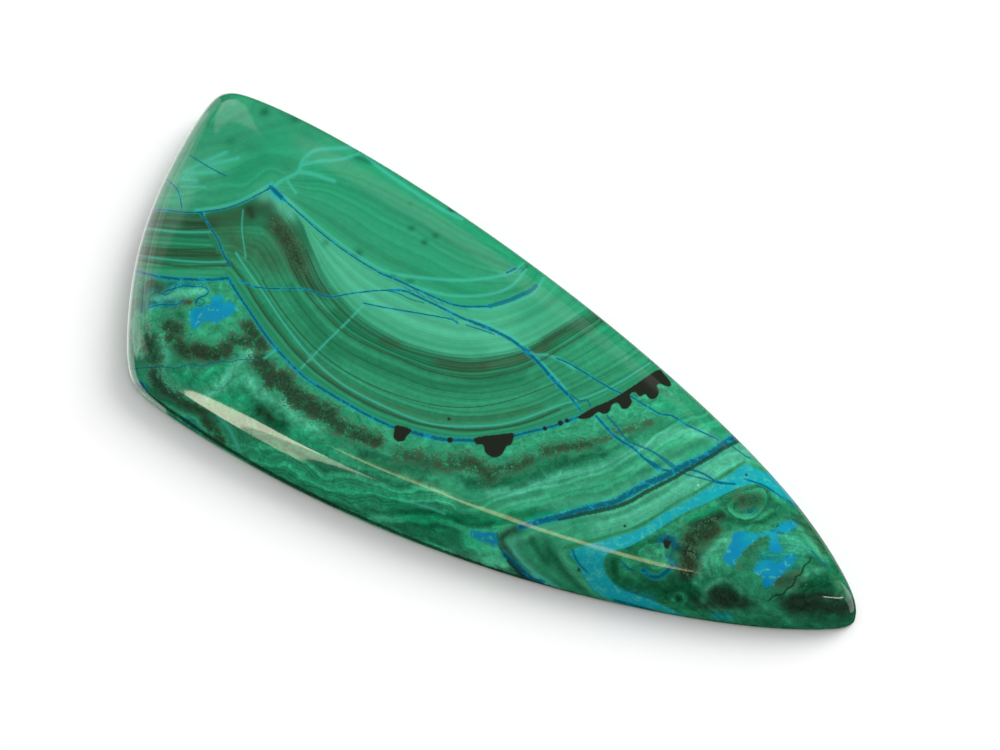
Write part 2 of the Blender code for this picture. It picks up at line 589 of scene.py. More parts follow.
BLUE_VEINS = {
    "crown seam": Stroke(Courses.CROWN_SEAM, 0.7),
    "wedge at the rim": Stroke(((271, 187), (275, 191), (282, 198)), 2.4),
    "bowl rim": Stroke(Courses.BOWL_RIM[:6], 0.7),
    "bowl rim, middle": Stroke(Courses.BOWL_RIM[5:11], 1.0),
    "moss seam, left": Stroke(Courses.MOSS_SEAM_LEFT, 1.5),
    "moss seam": Stroke(Courses.MOSS_SEAM[:9], 1.4),
    "moss seam, middle": Stroke(((412, 432), (430, 436.8), (447, 439.7), (475, 440.5)), 1.9),
    "moss seam, right": Stroke(((511, 436.5), (535, 430.5), (555, 425.5), (577, 417.5)), 1.4),
    "wedge vein": Stroke(Courses.WEDGE_VEIN, 0.8),
    "main vein, start": Stroke(
        ((240, 280), (252, 286), (270, 288.5), (300, 288.5), (314, 292), (330, 297), (348, 294),
        (372, 291),
         (391, 290)), 0.7),
    "main vein": Stroke(
        ((391, 290), (405, 291), (425, 300), (440, 307), (460, 317), (480, 325)), 1.1),
    "main vein, broad": Stroke(
        ((470, 321), (490, 329), (510, 339), (527, 352), (540, 364), (551, 377), (567, 394)), 1.6),
    "main vein, end": Stroke(((562, 389), (571, 398), (575, 403), (581, 411)), 1.0),
    "under the ledge, left": Stroke(
        ((596, 416), (605, 426), (617, 438), (633, 448), (645, 459), (658, 469.5)), 1.2),
    "under the ledge, cross": Stroke(((645, 459), (654, 463), (662, 469), (676, 472)), 0.9),
    "chevron crossing": Stroke(((676, 468), (692, 470), (704, 474), (718, 482), (735, 484)), 1.1),
    "sea vein": Stroke(((745, 479), (765, 486), (780, 496), (800, 508)), 0.9),
    "right vein": Stroke(
        ((556, 358), (570, 364), (590, 376), (608, 387), (618, 392), (630, 396), (648, 407), (661, 414),
         (673, 416), (685, 424), (702, 432), (718.6, 439.7)), 0.8),
    "crack": Stroke(((363.5, 303), (385, 307.5), (420, 313.5), (450, 319), (458, 323.5)), 0.7),
    "shoulder band": Stroke(Courses.SHOULDER_BLUE, 3.6, 0.4),
    "cell corner": Stroke(((505, 555), (518, 567), (530, 578), (543, 582)), 2.4),
    "eye crescent": Stroke(((643, 570), (650, 576), (658, 577), (666, 572), (672, 565)), 2.0),
    "pool outline": Stroke(
        ((163, 293), (168, 290), (175, 288.5), (183, 286), (192, 286.5), (203, 287), (208.5, 291),
        (206, 295),
         (199, 298), (196, 303)), 0.8),
    "pool foot": Stroke(((150, 308), (158, 305), (168, 305), (178, 304), (184, 300)), 0.7),
    "lens core": Stroke(((507, 273), (516, 268)), 1.2),
    "wall speck, left": Stroke(((140, 382), (146, 390)), 1.6),
    "wall speck, middle": Stroke(((182, 417), (191, 423), (200, 430)), 1.2),
    "crown, thin left": Stroke(((167, 179), (178, 191), (182, 208)), 0.7),
    "lobe line": Stroke(((614, 600), (640, 607), (668, 615)), 1.3),
}

BLUE_TWIGS = {
    "bowl rim, end": Stroke(((490, 306.3), (510, 300), (520, 295.5), (530, 291), (536, 286)), 2.2),
    "main vein, branch": Stroke(((385, 290), (400, 294), (410, 299), (424, 303)), 0.6),
    "main vein, side": Stroke(((570, 394), (579.5, 400.8), (587, 400), (590.4, 406.5)), 0.8),
    "main vein, twin": Stroke(((524, 346), (530, 352)), 0.7),
    "under the ledge, right": Stroke(
        ((607, 416), (618, 428), (627, 440), (640, 446), (655, 453), (672, 467)), 1.1),
    "chevron vein": Stroke(((640, 446), (655, 453), (672, 464), (680, 472), (700, 478), (722, 484)), 0.9),
    "right vein, end": Stroke(((732, 446), (744, 455), (750, 458)), 0.8),
    "crack, end": Stroke(((466, 325), (485, 331), (494, 334.5)), 0.7),
    "cell corner, line": Stroke(((497, 533), (499, 545), (505, 556)), 1.0),
    "eye line": Stroke(((622, 562), (628, 568), (634, 571)), 1.2),
    "moss crack": Stroke(
        ((128, 369), (160, 367), (176, 368), (190, 364), (203, 366), (219, 361), (230, 362), (241, 359.5),
         (258, 360)), 0.6),
    "pool ring": Stroke(((199, 298), (204, 301), (201, 306), (195, 304), (196, 299)), 0.6),
    "pool, inner": Stroke(((150, 296), (157, 292), (165, 295), (172, 291), (176, 286)), 0.7),
    "tip streak": Stroke(((812, 551), (820, 560), (829, 568)), 0.8),
    "sea, apex": Stroke(((573, 550), (575, 557), (580, 565), (587, 572)), 1.2),
    "crown, thin": Stroke(((190, 155.5), (209, 167), (226, 176)), 0.7),
}

PALE_LINES = {
    "above the crown seam": Stroke(((196, 210), (220, 206.5), (240, 200.5), (262, 189), (272, 183)), 1.2),
    "shore, left": Stroke(Courses.SHORE_LIGHT_LEFT, 0.8),
    "shore": Stroke(Courses.SHORE_LIGHT, 0.9),
    "wedge stripe": Stroke(((118, 226), (150, 229), (180, 232), (210, 232)), 1.0),
    "above the bowl rim": Stroke(
        ((284, 196), (302, 212), (322, 229), (342, 244.5), (362, 258), (380, 269)), 1.0),
    "lens, outer": Stroke(
        ((272, 187), (283, 180), (298, 172), (303, 160), (316.6, 150), (345, 148), (354, 147.4)), 1.7),
    "lens, second": Stroke(((302.6, 164.6), (320, 161), (340, 159.5), (359, 153.5)), 1.6),
    "lens, third": Stroke(((300, 172), (313, 174), (334, 181)), 1.9),
    "lens, short": Stroke(((288, 182), (296, 193)), 1.1),
    "lens, far edge": Stroke(((366, 156), (384, 171), (410, 189), (440, 208), (462, 219)), 1.5),
    "first arc": Stroke(
        ((360, 258), (390, 272.7), (430, 278.5), (470, 280), (507, 274), (523, 264)), 1.4),
    "second arc": Stroke(((409, 284.8), (447, 295), (485, 295), (510, 287), (526, 270)), 1.3),
    "end of the rim": Stroke(((470, 309), (492, 309), (512, 303), (532, 294), (544, 278)), 1.2),
    "crown, first": Stroke(((184, 172), (202, 163), (226, 152.5)), 1.7),
    "crown, second": Stroke(((209, 165), (238, 158)), 1.5),
    "crown, third": Stroke(((184, 173), (215, 172.5)), 1.6),
    "crown, fourth": Stroke(((182, 179), (197, 180.5)), 1.4),
    "crown, fifth": Stroke(((181, 186.5), (205, 187)), 1.2),
    "cell, upright": Stroke(((243, 210), (242, 230), (246, 258)), 0.6),
    "bowl cross": Stroke(((363.5, 305), (345, 324), (325, 343.5), (301, 368.4)), 0.9),
    "along the broad vein": Stroke(((474, 319), (500, 330), (522, 344), (545, 366), (566, 389)), 1.0),
    "right vein, start": Stroke(((533, 355), (547, 355), (562, 361), (574, 369)), 1.2),
    "chevron foot rim": Stroke(Courses.CHEVRON_FOOT, 1.0),
    "sea rim": Stroke(((605, 601), (640, 609), (662, 614)), 1.2),
    "wall scratch": Stroke(((400, 499), (430, 508), (445, 514)), 1.0),
    "wall streak": Stroke(((218, 416), (230, 430), (240, 452)), 1.6),
    "moss crack light": Stroke(((265, 358), (276, 350)), 1.0),
}

BLACK_LINES = {
    "shoulder stripe": Stroke(Courses.SHOULDER_BLACK, 2.0, 0.2),
    "cell corner": Stroke(((508, 561), (520, 573), (532, 583), (548, 588)), 1.8),
    # painted shade: the dark line along the near foot, where the stone meets the table, drawn as a black
    # stroke
    "foot": Stroke(
        ((136, 384), (170, 410), (240, 456), (340, 508), (470, 561), (600, 601), (700, 620),
        (776, 630)), 1.6),
    "tip crack": Stroke(
        ((811, 557), (809, 562), (804, 566), (801, 574), (796, 577), (793, 585), (787, 589), (783, 594),
         (774, 596), (768, 601)), 1.0, 0.3),
    "end crack": Stroke(((812, 600), (820, 607), (832, 610), (838, 604)), 0.8, 0.3),
}

DARK_LINES = {
    "shore, left": Stroke(Courses.SHORE_LEFT, 1.2),
    "shore": Stroke(Courses.SHORE[:13], 1.2),
    "belt foot, left": Stroke(((118, 224), (150, 226), (180, 229), (205, 228)), 1.0),
    "belt foot": Stroke(Courses.BELT_OUTER[4:17], 0.9, 0.3),
    "wedge, first": Stroke(((118, 242), (160, 249), (215, 249)), 1.0),
    "wedge, second": Stroke(((118, 250), (160, 255), (220, 255)), 1.1),
    "belt line, inner": Stroke(
        ((306, 250), (322, 284), (350, 318), (396, 346), (440, 359), (476, 363), (524, 353),
        (566, 330)), 0.9),
    "shore stripe": Stroke(
        ((262, 280), (283, 312), (312, 345), (350, 374), (400, 396), (450, 407), (500, 403),
        (560, 382)), 0.6),
}


def dot(centre: Place, radius: float) -> tuple[Place, ...]:
    """Eight places round a centre, which make a small round spot.

    Args:
        centre: The spot's middle.
        radius: Its radius, in pixels.

    Returns:
        The places.
    """
    turns = [math.pi * step / 4.0 for step in range(8)]
    return tuple((centre[0] + radius * math.cos(turn), centre[1] + radius * math.sin(turn))
                 for turn in turns)


BLACK_PATCHES = {
    "seam dot, first": dot((450, 440), 3.0),
    "seam dot, second": dot((545, 428.5), 2.4),
    "seam dot, third": dot((560.5, 423), 2.8),
    "seam dot, fourth": dot((567, 420.5), 2.4),
    "shore dot": dot((449, 419), 1.8),
    "chevron dot": dot((625, 526), 1.6),
    "sea dot": dot((746.5, 475), 1.6),
    "eye, ring dot": dot((672, 566), 1.5),
    "first drop": (
        (395, 425), (411, 429), (410, 433), (406, 437), (404, 441), (397, 441), (393.5, 437), (394, 431)),
    "second drop": (
        (474, 438), (476, 444), (483, 445), (485, 452), (491, 457), (498, 457), (503, 453), (507, 446),
        (511, 445), (513.5, 438), (513, 433), (498, 434.5), (483, 436)),
    "ledge": (
        (576, 418), (592, 408), (610, 400), (630, 388), (657, 370), (664, 374), (671, 383), (669, 387),
        (660, 384), (657, 386), (659, 392), (656, 398), (650, 399), (645, 394), (640, 397), (635, 392),
        (630, 395), (632, 402), (628, 408), (622, 409), (618, 403), (612, 405), (609, 412), (603, 414),
        (598, 412), (590, 418), (581, 419)),
    "spot by the eye": ((663, 540), (671, 541), (670, 545), (668, 549), (664, 547)),
    "speck in the sea": ((577, 568), (580, 568), (580, 572), (577, 571)),
}

BLUE_PATCHES = {
    "pool": (
        (212, 297), (221, 295), (224, 301), (230, 301), (236, 307), (235, 312), (226, 317), (217, 322),
        (205, 321), (196, 328), (191, 327), (190, 312), (196, 308), (210, 305)),
    "corner triangle": (
        (470, 530), (482, 532), (495, 533), (497, 540), (495, 546), (487, 543), (479, 540), (471, 536)),
    "tip, upper": (
        (732, 534), (745, 531), (760, 533), (772, 531), (781, 523), (790, 522), (794, 527), (790, 531),
        (780, 533), (777, 536), (781, 545), (783, 549), (779, 553), (770, 552), (769, 545), (771, 537),
        (765, 535), (756, 540), (749, 546), (742, 553), (736, 560), (733, 566), (727, 563), (723, 558),
        (727, 550), (730, 545)),
    "tip, lower": (
        (754, 570), (760, 563), (769, 558), (773, 563), (782, 561), (790, 556), (798, 556), (793, 562),
        (786, 570), (778, 577), (770, 586), (765, 589), (762, 585), (764, 577), (758, 575)),
}

SEA_PATCHES = {
    "sea": Courses.SEA_UPPER + Courses.SEA_UPPER_FOOT[1:] + Courses.SEA_LOWER_FOOT[::-1]
    + Courses.SEA_LOWER[::-1][1:],
}

MOSS_CLOUDS = {
    "cell, dark corner": Wash(Shade.DARK_OLIVE, ((160, 288), (150, 284)), 10, 0.7),
    "upper left, first": Wash(Shade.DARK_OLIVE, ((168, 326), (178, 330)), 11, 0.9),
    "upper left, second": Wash(Shade.DARK_OLIVE, ((150, 337), (154, 358)), 13, 0.8),
    "upper left, third": Wash(Shade.DARK_OLIVE, ((172, 338), (186, 354)), 11, 0.9),
    "upper left, fourth": Wash(Shade.DARK_OLIVE, ((197, 350), (214, 354), (226, 350)), 11, 1.0),
    "upper left, fifth": Wash(Shade.DARK_OLIVE, ((232, 340), (256, 342)), 10, 0.8),
    "beside the seam": Wash(Shade.DARK_OLIVE, ((248, 326), (262, 346)), 10, 0.9),
    "block": Wash(Shade.DARK_OLIVE, ((261, 362), (273, 382)), 13, 1.0),
    "along the seam, first": Wash(Shade.DARK_OLIVE, ((282, 380), (300, 400), (328, 414)), 14, 1.0),
    "along the seam, second": Wash(Shade.DARK_OLIVE, ((333, 423), (352, 432), (376, 441)), 11, 0.9),
    "along the seam, third": Wash(Shade.DARK_OLIVE, ((398, 454), (420, 459), (450, 466)), 12, 0.7),
    "along the seam, fourth": Wash(Shade.DARK_OLIVE, ((452, 463), (472, 464), (490, 476)), 13, 0.8),
    "along the seam, fifth": Wash(Shade.DARK_OLIVE, ((494, 472), (515, 466), (530, 460)), 10, 0.75),
    "along the seam, sixth": Wash(Shade.DARK_OLIVE, ((543, 452), (560, 448), (590, 444)), 9, 0.75),
    "along the seam, seventh": Wash(
        Shade.DARK_OLIVE, ((590, 443), (604, 438), (628, 430), (652, 422)), 8, 0.6),
    "lower left": Wash(Shade.DARK_OLIVE, ((153, 374), (163, 390)), 8, 0.85),
    "wall, first": Wash(Shade.DARK_OLIVE, ((156, 386), (178, 398)), 8, 0.8),
    "wall, second": Wash(Shade.DARK_OLIVE, ((180, 402), (205, 412)), 8, 0.8),
    "wall, third": Wash(Shade.DARK_OLIVE, ((206, 420), (222, 440)), 8, 0.8),
    "tip, olive": Wash(Shade.DARK_OLIVE, ((692, 539), (700, 536), (712, 529)), 12, 1.0),
    "tip, dark block": Wash(Shade.DARK_OLIVE, ((686, 560), (692, 566)), 10, 0.9),
    "tip, grains": Wash(Shade.DARK_OLIVE, ((741, 546), (752, 552), (742, 566)), 9, 0.45),
    "tip, speckle": Wash(Shade.DARK_OLIVE, ((779, 580), (798, 580)), 10, 0.7),
    "first belt": Wash(Shade.DARK_OLIVE, ((278, 230), (290, 246), (298, 264)), 13, 0.75),
    "tip, round": Wash(Shade.DARK_OLIVE, ((742, 501), (756, 501)), 11, 0.75),
}

GROUND_ZONES = {
    "bowl": Zone(
        Shade.PALE_GREEN,
        ((200, 212), (240, 203), (270, 188)) + Courses.BOWL_RIM + ((640, 210), (720, 270))
        + Courses.MOSS_SEAM[::-1], 2.0, 0.75),
    "wedge": Zone(
        Shade.BAND_GREEN, ((110, 207), (150, 208), (200, 212), (218, 240), (230, 267), (228, 278),
        (110, 266)),
        2.0, 0.75),
    "shore band": Zone(
        Shade.MID_GREEN,
        Courses.SHORE + Courses.BELT_OUTER[::-1] + ((205, 212), (226, 258)), 2.0, 0.85),
    "belt": Zone(
        Shade.BAND_GREEN,
        Courses.BELT_OUTER + Courses.BELT_INNER[::-1] + ((284, 200), (270, 190), (240, 205),
        (205, 213)), 2.0, 0.9),
    "between shore and seam": Zone(
        Shade.MID_GREEN, Courses.SHORE + Courses.MOSS_SEAM[::-1], 2.0, 0.9),
    "moss": Zone(
        Shade.LEAF_GREEN,
        Courses.MOSS_SEAM_LEFT + Courses.MOSS_SEAM[1:] + ((760, 250), (860, 330))
        + Courses.SHOULDER_BLUE[::-1]
        + Courses.CHEVRON_FOOT + ((600, 640), (300, 560), (90, 440), (90, 270)), 2.0, 0.85),
    "waves": Zone(
        Shade.LEAF_GREEN,
        ((440, 484), (485, 492), (520, 490), (560, 474), (610, 458), (650, 430), (665, 400), (690, 385),
         (740, 350), (820, 380), (732, 436), (700, 455), (650, 481), (605, 501), (545, 515),
         (505, 524), (460, 512)),
        10.0, 0.8),
    "chevron": Zone(
        Shade.LEAF_GREEN,
        Courses.CHEVRON_TOP + Courses.CHEVRON_FOOT + ((640, 640), (600, 595), (571, 551))
        + Courses.SEA_UPPER[::-1],
        1.5, 1.0),
    "tip": Zone(
        Shade.MID_GREEN, Courses.SEA_LOWER + Courses.SEA_LOWER_FOOT + ((720, 670), (920, 680),
        (920, 560)), 1.5, 1.0),
}

GROUND_WASHES = {
    "crown, bright left": Wash(Shade.PALE_GREEN, ((172, 196), (186, 178), (214, 164)), 20, 0.55),
    "crown, warm top": Wash(Shade.LEAF_GREEN, ((214, 120), (270, 130)), 24, 0.5),
    "crown, deep right": Wash(Shade.SEA_GREEN, ((236, 178), (262, 162), (280, 140)), 16, 0.5),
    "lens, sea light": Wash(Shade.SEA_GREEN, ((316, 176), (350, 200), (410, 250), (470, 292)), 16, 0.5),
    "lens, pale": Wash(Shade.LEAF_GREEN, ((345, 215), (400, 245), (450, 260)), 18, 0.5),
    "far edge": Wash(
        Shade.SEA_GREEN, ((360, 160), (420, 192), (500, 245), (580, 310), (640, 350)), 12, 0.6),
    # painted reflection haze: a lighter tone at the left rim, where the polish mirrors the room
    "wedge, painted reflection haze": Wash(Shade.LEAF_GREEN, ((138, 216), (140, 240), (136, 262)), 7, 0.5),
    "wedge, dark": Wash(Shade.DARK_OLIVE, ((140, 218), (190, 222), (212, 224)), 8, 0.75),
    "wedge, darkest": Wash(Shade.NEAR_BLACK, ((188, 225), (204, 225)), 5, 0.4),
    "wedge, middle": Wash(Shade.MID_GREEN, ((130, 238), (180, 240), (210, 242)), 6, 0.8),
    "wedge, lower dark": Wash(Shade.DARK_OLIVE, ((130, 252), (180, 254), (218, 256)), 5, 0.6),
    "wedge, pale foot": Wash(Shade.LEAF_GREEN, ((130, 269), (180, 272), (224, 271)), 4, 0.8),
    "cell, corner light": Wash(Shade.MINT, ((266, 197), (278, 202), (288, 214)), 10, 0.85),
    "cell, corner blue": Wash(Shade.TURQUOISE, ((275, 193), (279, 197)), 4, 0.8),
    "cell, dark top": Wash(Shade.DARK_OLIVE, ((216, 220), (238, 215), (268, 206)), 9, 0.7),
    "cell, dark spot": Wash(Shade.NEAR_BLACK, ((249, 209), (252, 216)), 4, 0.7),
    "cell, middle": Wash(Shade.OLIVE, ((228, 232), (240, 246), (256, 250), (272, 262)), 14, 0.75),
    "belt, brown top": Wash(Shade.DARK_OLIVE, ((276, 222), (289, 240), (301, 266)), 11, 0.9),
    "belt, black top": Wash(Shade.BROWN, ((277, 228), (290, 246)), 6, 0.6),
    "belt, bend": Wash(Shade.DARK_OLIVE, ((300, 262), (312, 286), (332, 306)), 8, 0.8),
    "belt, middle": Wash(Shade.BAND_GREEN, ((330, 302), (360, 330), (392, 347), (430, 361)), 9, 0.8),
    "belt, dark spots": Wash(Shade.DARK_OLIVE, ((384, 340), (398, 345)), 5, 0.7),
    "belt, dark run": Wash(Shade.DARK_OLIVE, ((440, 362), (462, 367), (482, 366)), 6, 0.8),
    "belt, brown run": Wash(Shade.BROWN, ((486, 365), (518, 360), (545, 347)), 5, 0.5),
    "belt, right": Wash(Shade.DARK_OLIVE, ((548, 340), (568, 330), (596, 318)), 7, 0.7),
    "bowl, pale": Wash(Shade.MINT, ((330, 262), (356, 286), (400, 320), (450, 338), (500, 340)), 16, 0.5),
    "bowl, shade": Wash(Shade.LEAF_GREEN, ((320, 262), (352, 306), (420, 340), (480, 350)), 8, 0.5),
    "bowl, right": Wash(Shade.LEAF_GREEN, ((530, 310), (560, 300), (590, 296)), 14, 0.7),
    "right of the vein": Wash(
        Shade.LEAF_GREEN, ((576, 350), (600, 356), (622, 352), (640, 350)), 15, 0.85),
    "shore, deep": Wash(Shade.DEEP_GREEN, ((268, 304), (280, 318), (300, 336), (330, 356)), 11, 0.6),
    "bowl, under the vein": Wash(Shade.LEAF_GREEN, ((286, 296), (306, 298), (330, 306)), 6, 0.6),
    "shore, inner dark": Wash(
        Shade.BAND_GREEN, ((290, 290), (330, 340), (390, 370), (450, 386), (520, 378)), 6, 0.7),
    "shore, pale": Wash(
        Shade.LEAF_GREEN, ((270, 300), (310, 346), (370, 386), (450, 410), (530, 400)), 8, 0.6),
    "shore, olive": Wash(
        Shade.OLIVE, ((300, 352), (350, 388), (410, 412), (470, 420), (540, 408)), 5, 0.5),
    "under the shore": Wash(
        Shade.MID_GREEN, ((240, 286), (290, 355), (340, 394), (430, 433), (540, 424)), 4, 0.7),
    "moss, upper left": Wash(Shade.LEAF_GREEN, ((142, 322), (160, 314), (190, 318), (230, 330)), 11, 0.7),
    "moss, dark heart": Wash(Shade.NEAR_BLACK, ((184, 346), (196, 354), (214, 356)), 7, 0.8),
    "moss, grey cell": Wash(Shade.OLIVE, ((150, 286), (175, 305)), 10, 0.6),
    "moss, pale left": Wash(Shade.LEAF_GREEN, ((184, 332), (210, 334), (236, 352)), 9, 0.7),
    "moss, pale lower": Wash(
        Shade.LEAF_GREEN, ((160, 352), (190, 374), (225, 382), (276, 402), (306, 424)), 12, 0.75),
    "moss, swirl shade": Wash(Shade.SEA_GREEN, ((180, 376), (200, 380), (214, 372), (224, 364)), 6, 0.8),
    "moss, under the swirl": Wash(
        Shade.SEA_GREEN, ((206, 402), (226, 400), (240, 396), (250, 404)), 7, 0.9),
    "moss, swirl light": Wash(
        Shade.MINT, ((206, 397), (218, 388), (227, 378), (235, 367), (242, 357), (252, 353)), 4.5, 0.75),
    "moss, second swirl": Wash(
        Shade.MINT, ((248, 378), (259, 392), (270, 399), (283, 404), (291, 411), (300, 421),
        (313, 429)), 5.5, 0.6),
    "moss, left light": Wash(
        Shade.MINT, ((163, 340), (166, 358), (161, 374), (168, 386), (182, 394)), 4.5, 0.6),
    "moss, deep": Wash(Shade.DEEP_GREEN, ((260, 410), (272, 420), (284, 427)), 9, 0.95),
    "moss, deep core": Wash(Shade.SOOT_OLIVE, ((262, 411), (270, 418)), 5, 0.8),
    "moss, sea lane": Wash(Shade.SEA_GREEN, ((298, 432), (314, 440), (330, 446)), 8, 0.8),
    "moss, deep right": Wash(Shade.DEEP_GREEN, ((364, 455), (390, 468), (424, 470)), 11, 0.6),
    "moss, dark wall": Wash(Shade.SEA_GREEN, ((420, 520), (440, 530), (470, 545)), 13, 0.7),
    "moss, dark start": Wash(Shade.TRUE_GREEN, ((392, 506), (410, 516), (430, 524)), 8, 0.7),
    "moss, foot": Wash(Shade.PALE_GREEN, ((452, 556), (480, 564), (506, 570), (520, 576)), 10, 1.0),
    # painted reflection haze: a paler strip at the left rim, where the polish mirrors the room
    "moss, corner, painted reflection haze": Wash(
        Shade.PALE_GREEN, ((140, 344), (144, 354), (148, 364), (150, 376)), 6, 0.6),
    "moss, sea light": Wash(Shade.SEA_GREEN, ((260, 452), (330, 488), (400, 500)), 12, 0.5),
    "moss, under the seam": Wash(
        Shade.LEAF_GREEN, ((345, 408), (400, 440), (450, 450), (540, 442), (590, 424)), 9, 0.6),
    "moss, under the ledge": Wash(Shade.LEAF_GREEN, ((600, 424), (640, 412), (670, 392)), 9, 0.6),
    "moss, dark run": Wash(Shade.DEEP_GREEN, ((470, 484), (510, 482), (548, 468), (600, 452)), 8, 0.7),
    "waves, light": Wash(Shade.PALE_GREEN, ((646, 446), (676, 434), (700, 434), (712, 436)), 6, 0.6),
    "waves, first pale": Wash(
        Shade.MINT, ((490, 494), (508, 493), (522, 491), (536, 485), (548, 483), (560, 476),
        (580, 473), (600, 468),
                     (622, 456), (646, 446), (664, 436), (682, 431), (704, 434)), 4.5, 0.65),
    "waves, second pale": Wash(
        Shade.PALE_GREEN, ((500, 506), (520, 503), (540, 497), (556, 488), (580, 484), (604, 478),
        (640, 466),
                           (664, 456), (690, 442)), 3.5, 0.5),
    "waves, third pale": Wash(
        Shade.PALE_GREEN, ((540, 510), (562, 502), (590, 498), (606, 498), (630, 484), (660, 470),
        (682, 458)), 4, 0.6),
    "waves, shade": Wash(
        Shade.MID_GREEN, ((586, 459), (604, 458), (622, 449), (640, 437), (664, 420)), 4.5, 0.6),
    "waves, second shade": Wash(
        Shade.MID_GREEN, ((560, 495), (590, 489), (606, 480), (640, 473), (664, 464)), 2.5, 0.5),
    "waves, far shade": Wash(Shade.SEA_GREEN, ((664, 404), (682, 408), (704, 424), (718, 432)), 6, 0.7),
    "waves, low dark": Wash(
        Shade.TRUE_GREEN, ((410, 514), (464, 519), (492, 520), (518, 516), (548, 514)), 7, 0.9),
    "chevron, pale": Wash(
        Shade.MINT, ((600, 523), (620, 518), (640, 511), (670, 494), (700, 477), (730, 460),
        (760, 442)), 12, 0.8),
    "chevron, streak": Wash(Shade.LEAF_GREEN, ((574, 528), (612, 517), (640, 505), (668, 490)), 3, 0.5),
    "chevron, dark": Wash(Shade.BAND_GREEN, ((546, 543), (552, 556), (566, 572), (586, 590)), 7, 0.7),
    "chevron, rim": Wash(
        Shade.MINT, ((513, 540), (513, 547), (521, 560), (535, 575), (552, 588)), 4, 0.8),
    "chevron, apex": Wash(Shade.PALE_GREEN, ((514, 543), (528, 536), (548, 531), (566, 527)), 5, 0.6),
    "chevron, blotch": Wash(Shade.DEEP_GREEN, ((532, 540), (540, 554), (548, 564)), 4, 0.6),
    "chevron, fold": Wash(Shade.DEEP_GREEN, ((548, 549), (556, 560), (568, 574), (582, 588)), 2.5, 0.6),
    "chevron, inner fold": Wash(
        Shade.PALE_GREEN, ((580, 537), (562, 544), (562, 556), (574, 574), (590, 590)), 3, 0.6),
    "chevron, line": Wash(
        Shade.BAND_GREEN, ((566, 548), (610, 535), (640, 525), (676, 503), (706, 486), (732, 470),
        (745, 461)), 1.8, 0.8),
    "tip, dark round": Wash(Shade.DEEP_GREEN, ((738, 502), (750, 502), (760, 500)), 9, 0.8),
    "tip, round grains": Wash(Shade.MID_GREEN, ((744, 506), (756, 506)), 6, 0.8),
    "tip, round blue": Wash(Shade.VEIN_BLUE, ((746, 512), (756, 511)), 3, 0.5),
    "tip, first ring": Wash(
        Shade.LEAF_GREEN, ((732, 512), (742, 517), (756, 517), (768, 512), (774, 504)), 3.5, 0.8),
    "tip, ring shade": Wash(Shade.DEEP_GREEN, ((730, 519), (744, 523), (760, 522), (775, 514)), 3, 0.7),
    "tip, second ring": Wash(Shade.LEAF_GREEN, ((736, 528), (750, 530), (766, 527), (782, 518)), 3, 0.7),
    "tip, under the sea": Wash(Shade.LEAF_GREEN, ((684, 521), (700, 512), (716, 505)), 4, 0.7),
    "tip, slant light": Wash(Shade.PALE_GREEN, ((786, 515), (797, 526), (812, 543), (824, 560)), 3, 0.7),
    "tip, slant shade": Wash(Shade.DARK_OLIVE, ((798, 516), (812, 534), (824, 552)), 4.5, 0.7),
    "tip, teal field": Wash(Shade.LEAF_GREEN, ((782, 540), (794, 545), (804, 550)), 10, 0.6),
    "tip, olive field": Wash(Shade.OLIVE, ((746, 552), (756, 544), (762, 540)), 7, 0.4),
    "tip, left grains": Wash(Shade.PALE_GREEN, ((704, 564), (709, 554), (718, 545), (730, 540)), 6, 0.7),
    "tip, lobe edge": Wash(
        Shade.MINT, ((701, 578), (699, 568), (703, 559), (711, 550), (722, 541), (734, 535)), 2.2, 0.6),
    "tip, dark left": Wash(Shade.NEAR_BLACK, ((690, 526), (706, 523), (714, 519), (722, 516)), 6, 0.9),
    "tip, dark right": Wash(Shade.DEEP_GREEN, ((776, 506), (794, 518)), 6, 0.6),
    "tip, sea edge": Wash(Shade.LEAF_GREEN, ((726, 496), (744, 489), (760, 489), (776, 497)), 4, 0.7),
    "tip, dark below": Wash(Shade.NEAR_BLACK, ((692, 554), (690, 562), (686, 574)), 11, 1.0),
    "tip, low lobe": Wash(Shade.TURQUOISE, ((716, 614), (728, 616)), 4.5, 0.8),
    "tip, brown": Wash(Shade.DARK_OLIVE, ((690, 534), (706, 540)), 11, 0.8),
    "tip, pale grains": Wash(Shade.PALE_GREEN, ((712, 560), (726, 548), (738, 540)), 8, 0.6),
    "tip, bright grains": Wash(Shade.LEAF_GREEN, ((740, 590), (760, 598), (786, 588)), 9, 0.6),
    "tip, behind the sea": Wash(Shade.DEEP_GREEN, ((614, 560), (616, 576), (630, 586)), 7, 0.9),
    "tip, behind, light": Wash(Shade.LEAF_GREEN, ((626, 560), (634, 558)), 6, 0.6),
    "tip, above the eye": Wash(Shade.DEEP_GREEN, ((628, 550), (650, 541), (660, 536)), 4, 0.7),
    "tip, dark lane": Wash(Shade.DEEP_GREEN, ((640, 584), (664, 590), (694, 594)), 8, 0.7),
    "tip, grain field": Wash(Shade.LEAF_GREEN, ((720, 560), (738, 572), (760, 590)), 12, 0.6),
    "tip, beside the sea": Wash(Shade.LEAF_GREEN, ((668, 538), (677, 533), (686, 528)), 5, 0.6),
    "tip, above the block": Wash(Shade.TRUE_GREEN, ((690, 520), (702, 514), (714, 509)), 4, 0.8),
    "tip, pale corner": Wash(Shade.PALE_TURQUOISE, ((792, 545), (804, 550)), 8, 0.35),
    "tip, turquoise": Wash(Shade.TURQUOISE, ((768, 562), (776, 566), (786, 562)), 9, 0.8),
    "tip, upper turquoise": Wash(Shade.BRIGHT_BLUE, ((772, 534), (784, 530), (794, 524)), 4, 0.5),
    "tip, above the arch": Wash(Shade.DEEP_GREEN, ((808, 556), (816, 562), (822, 566)), 5, 0.6),
    "tip, brown grains": Wash(Shade.DARK_OLIVE, ((782, 584), (790, 578), (798, 572)), 5, 0.5),
    "tip, lobe": Wash(Shade.DEEP_GREEN, ((722, 597), (724, 598)), 15, 1.0),
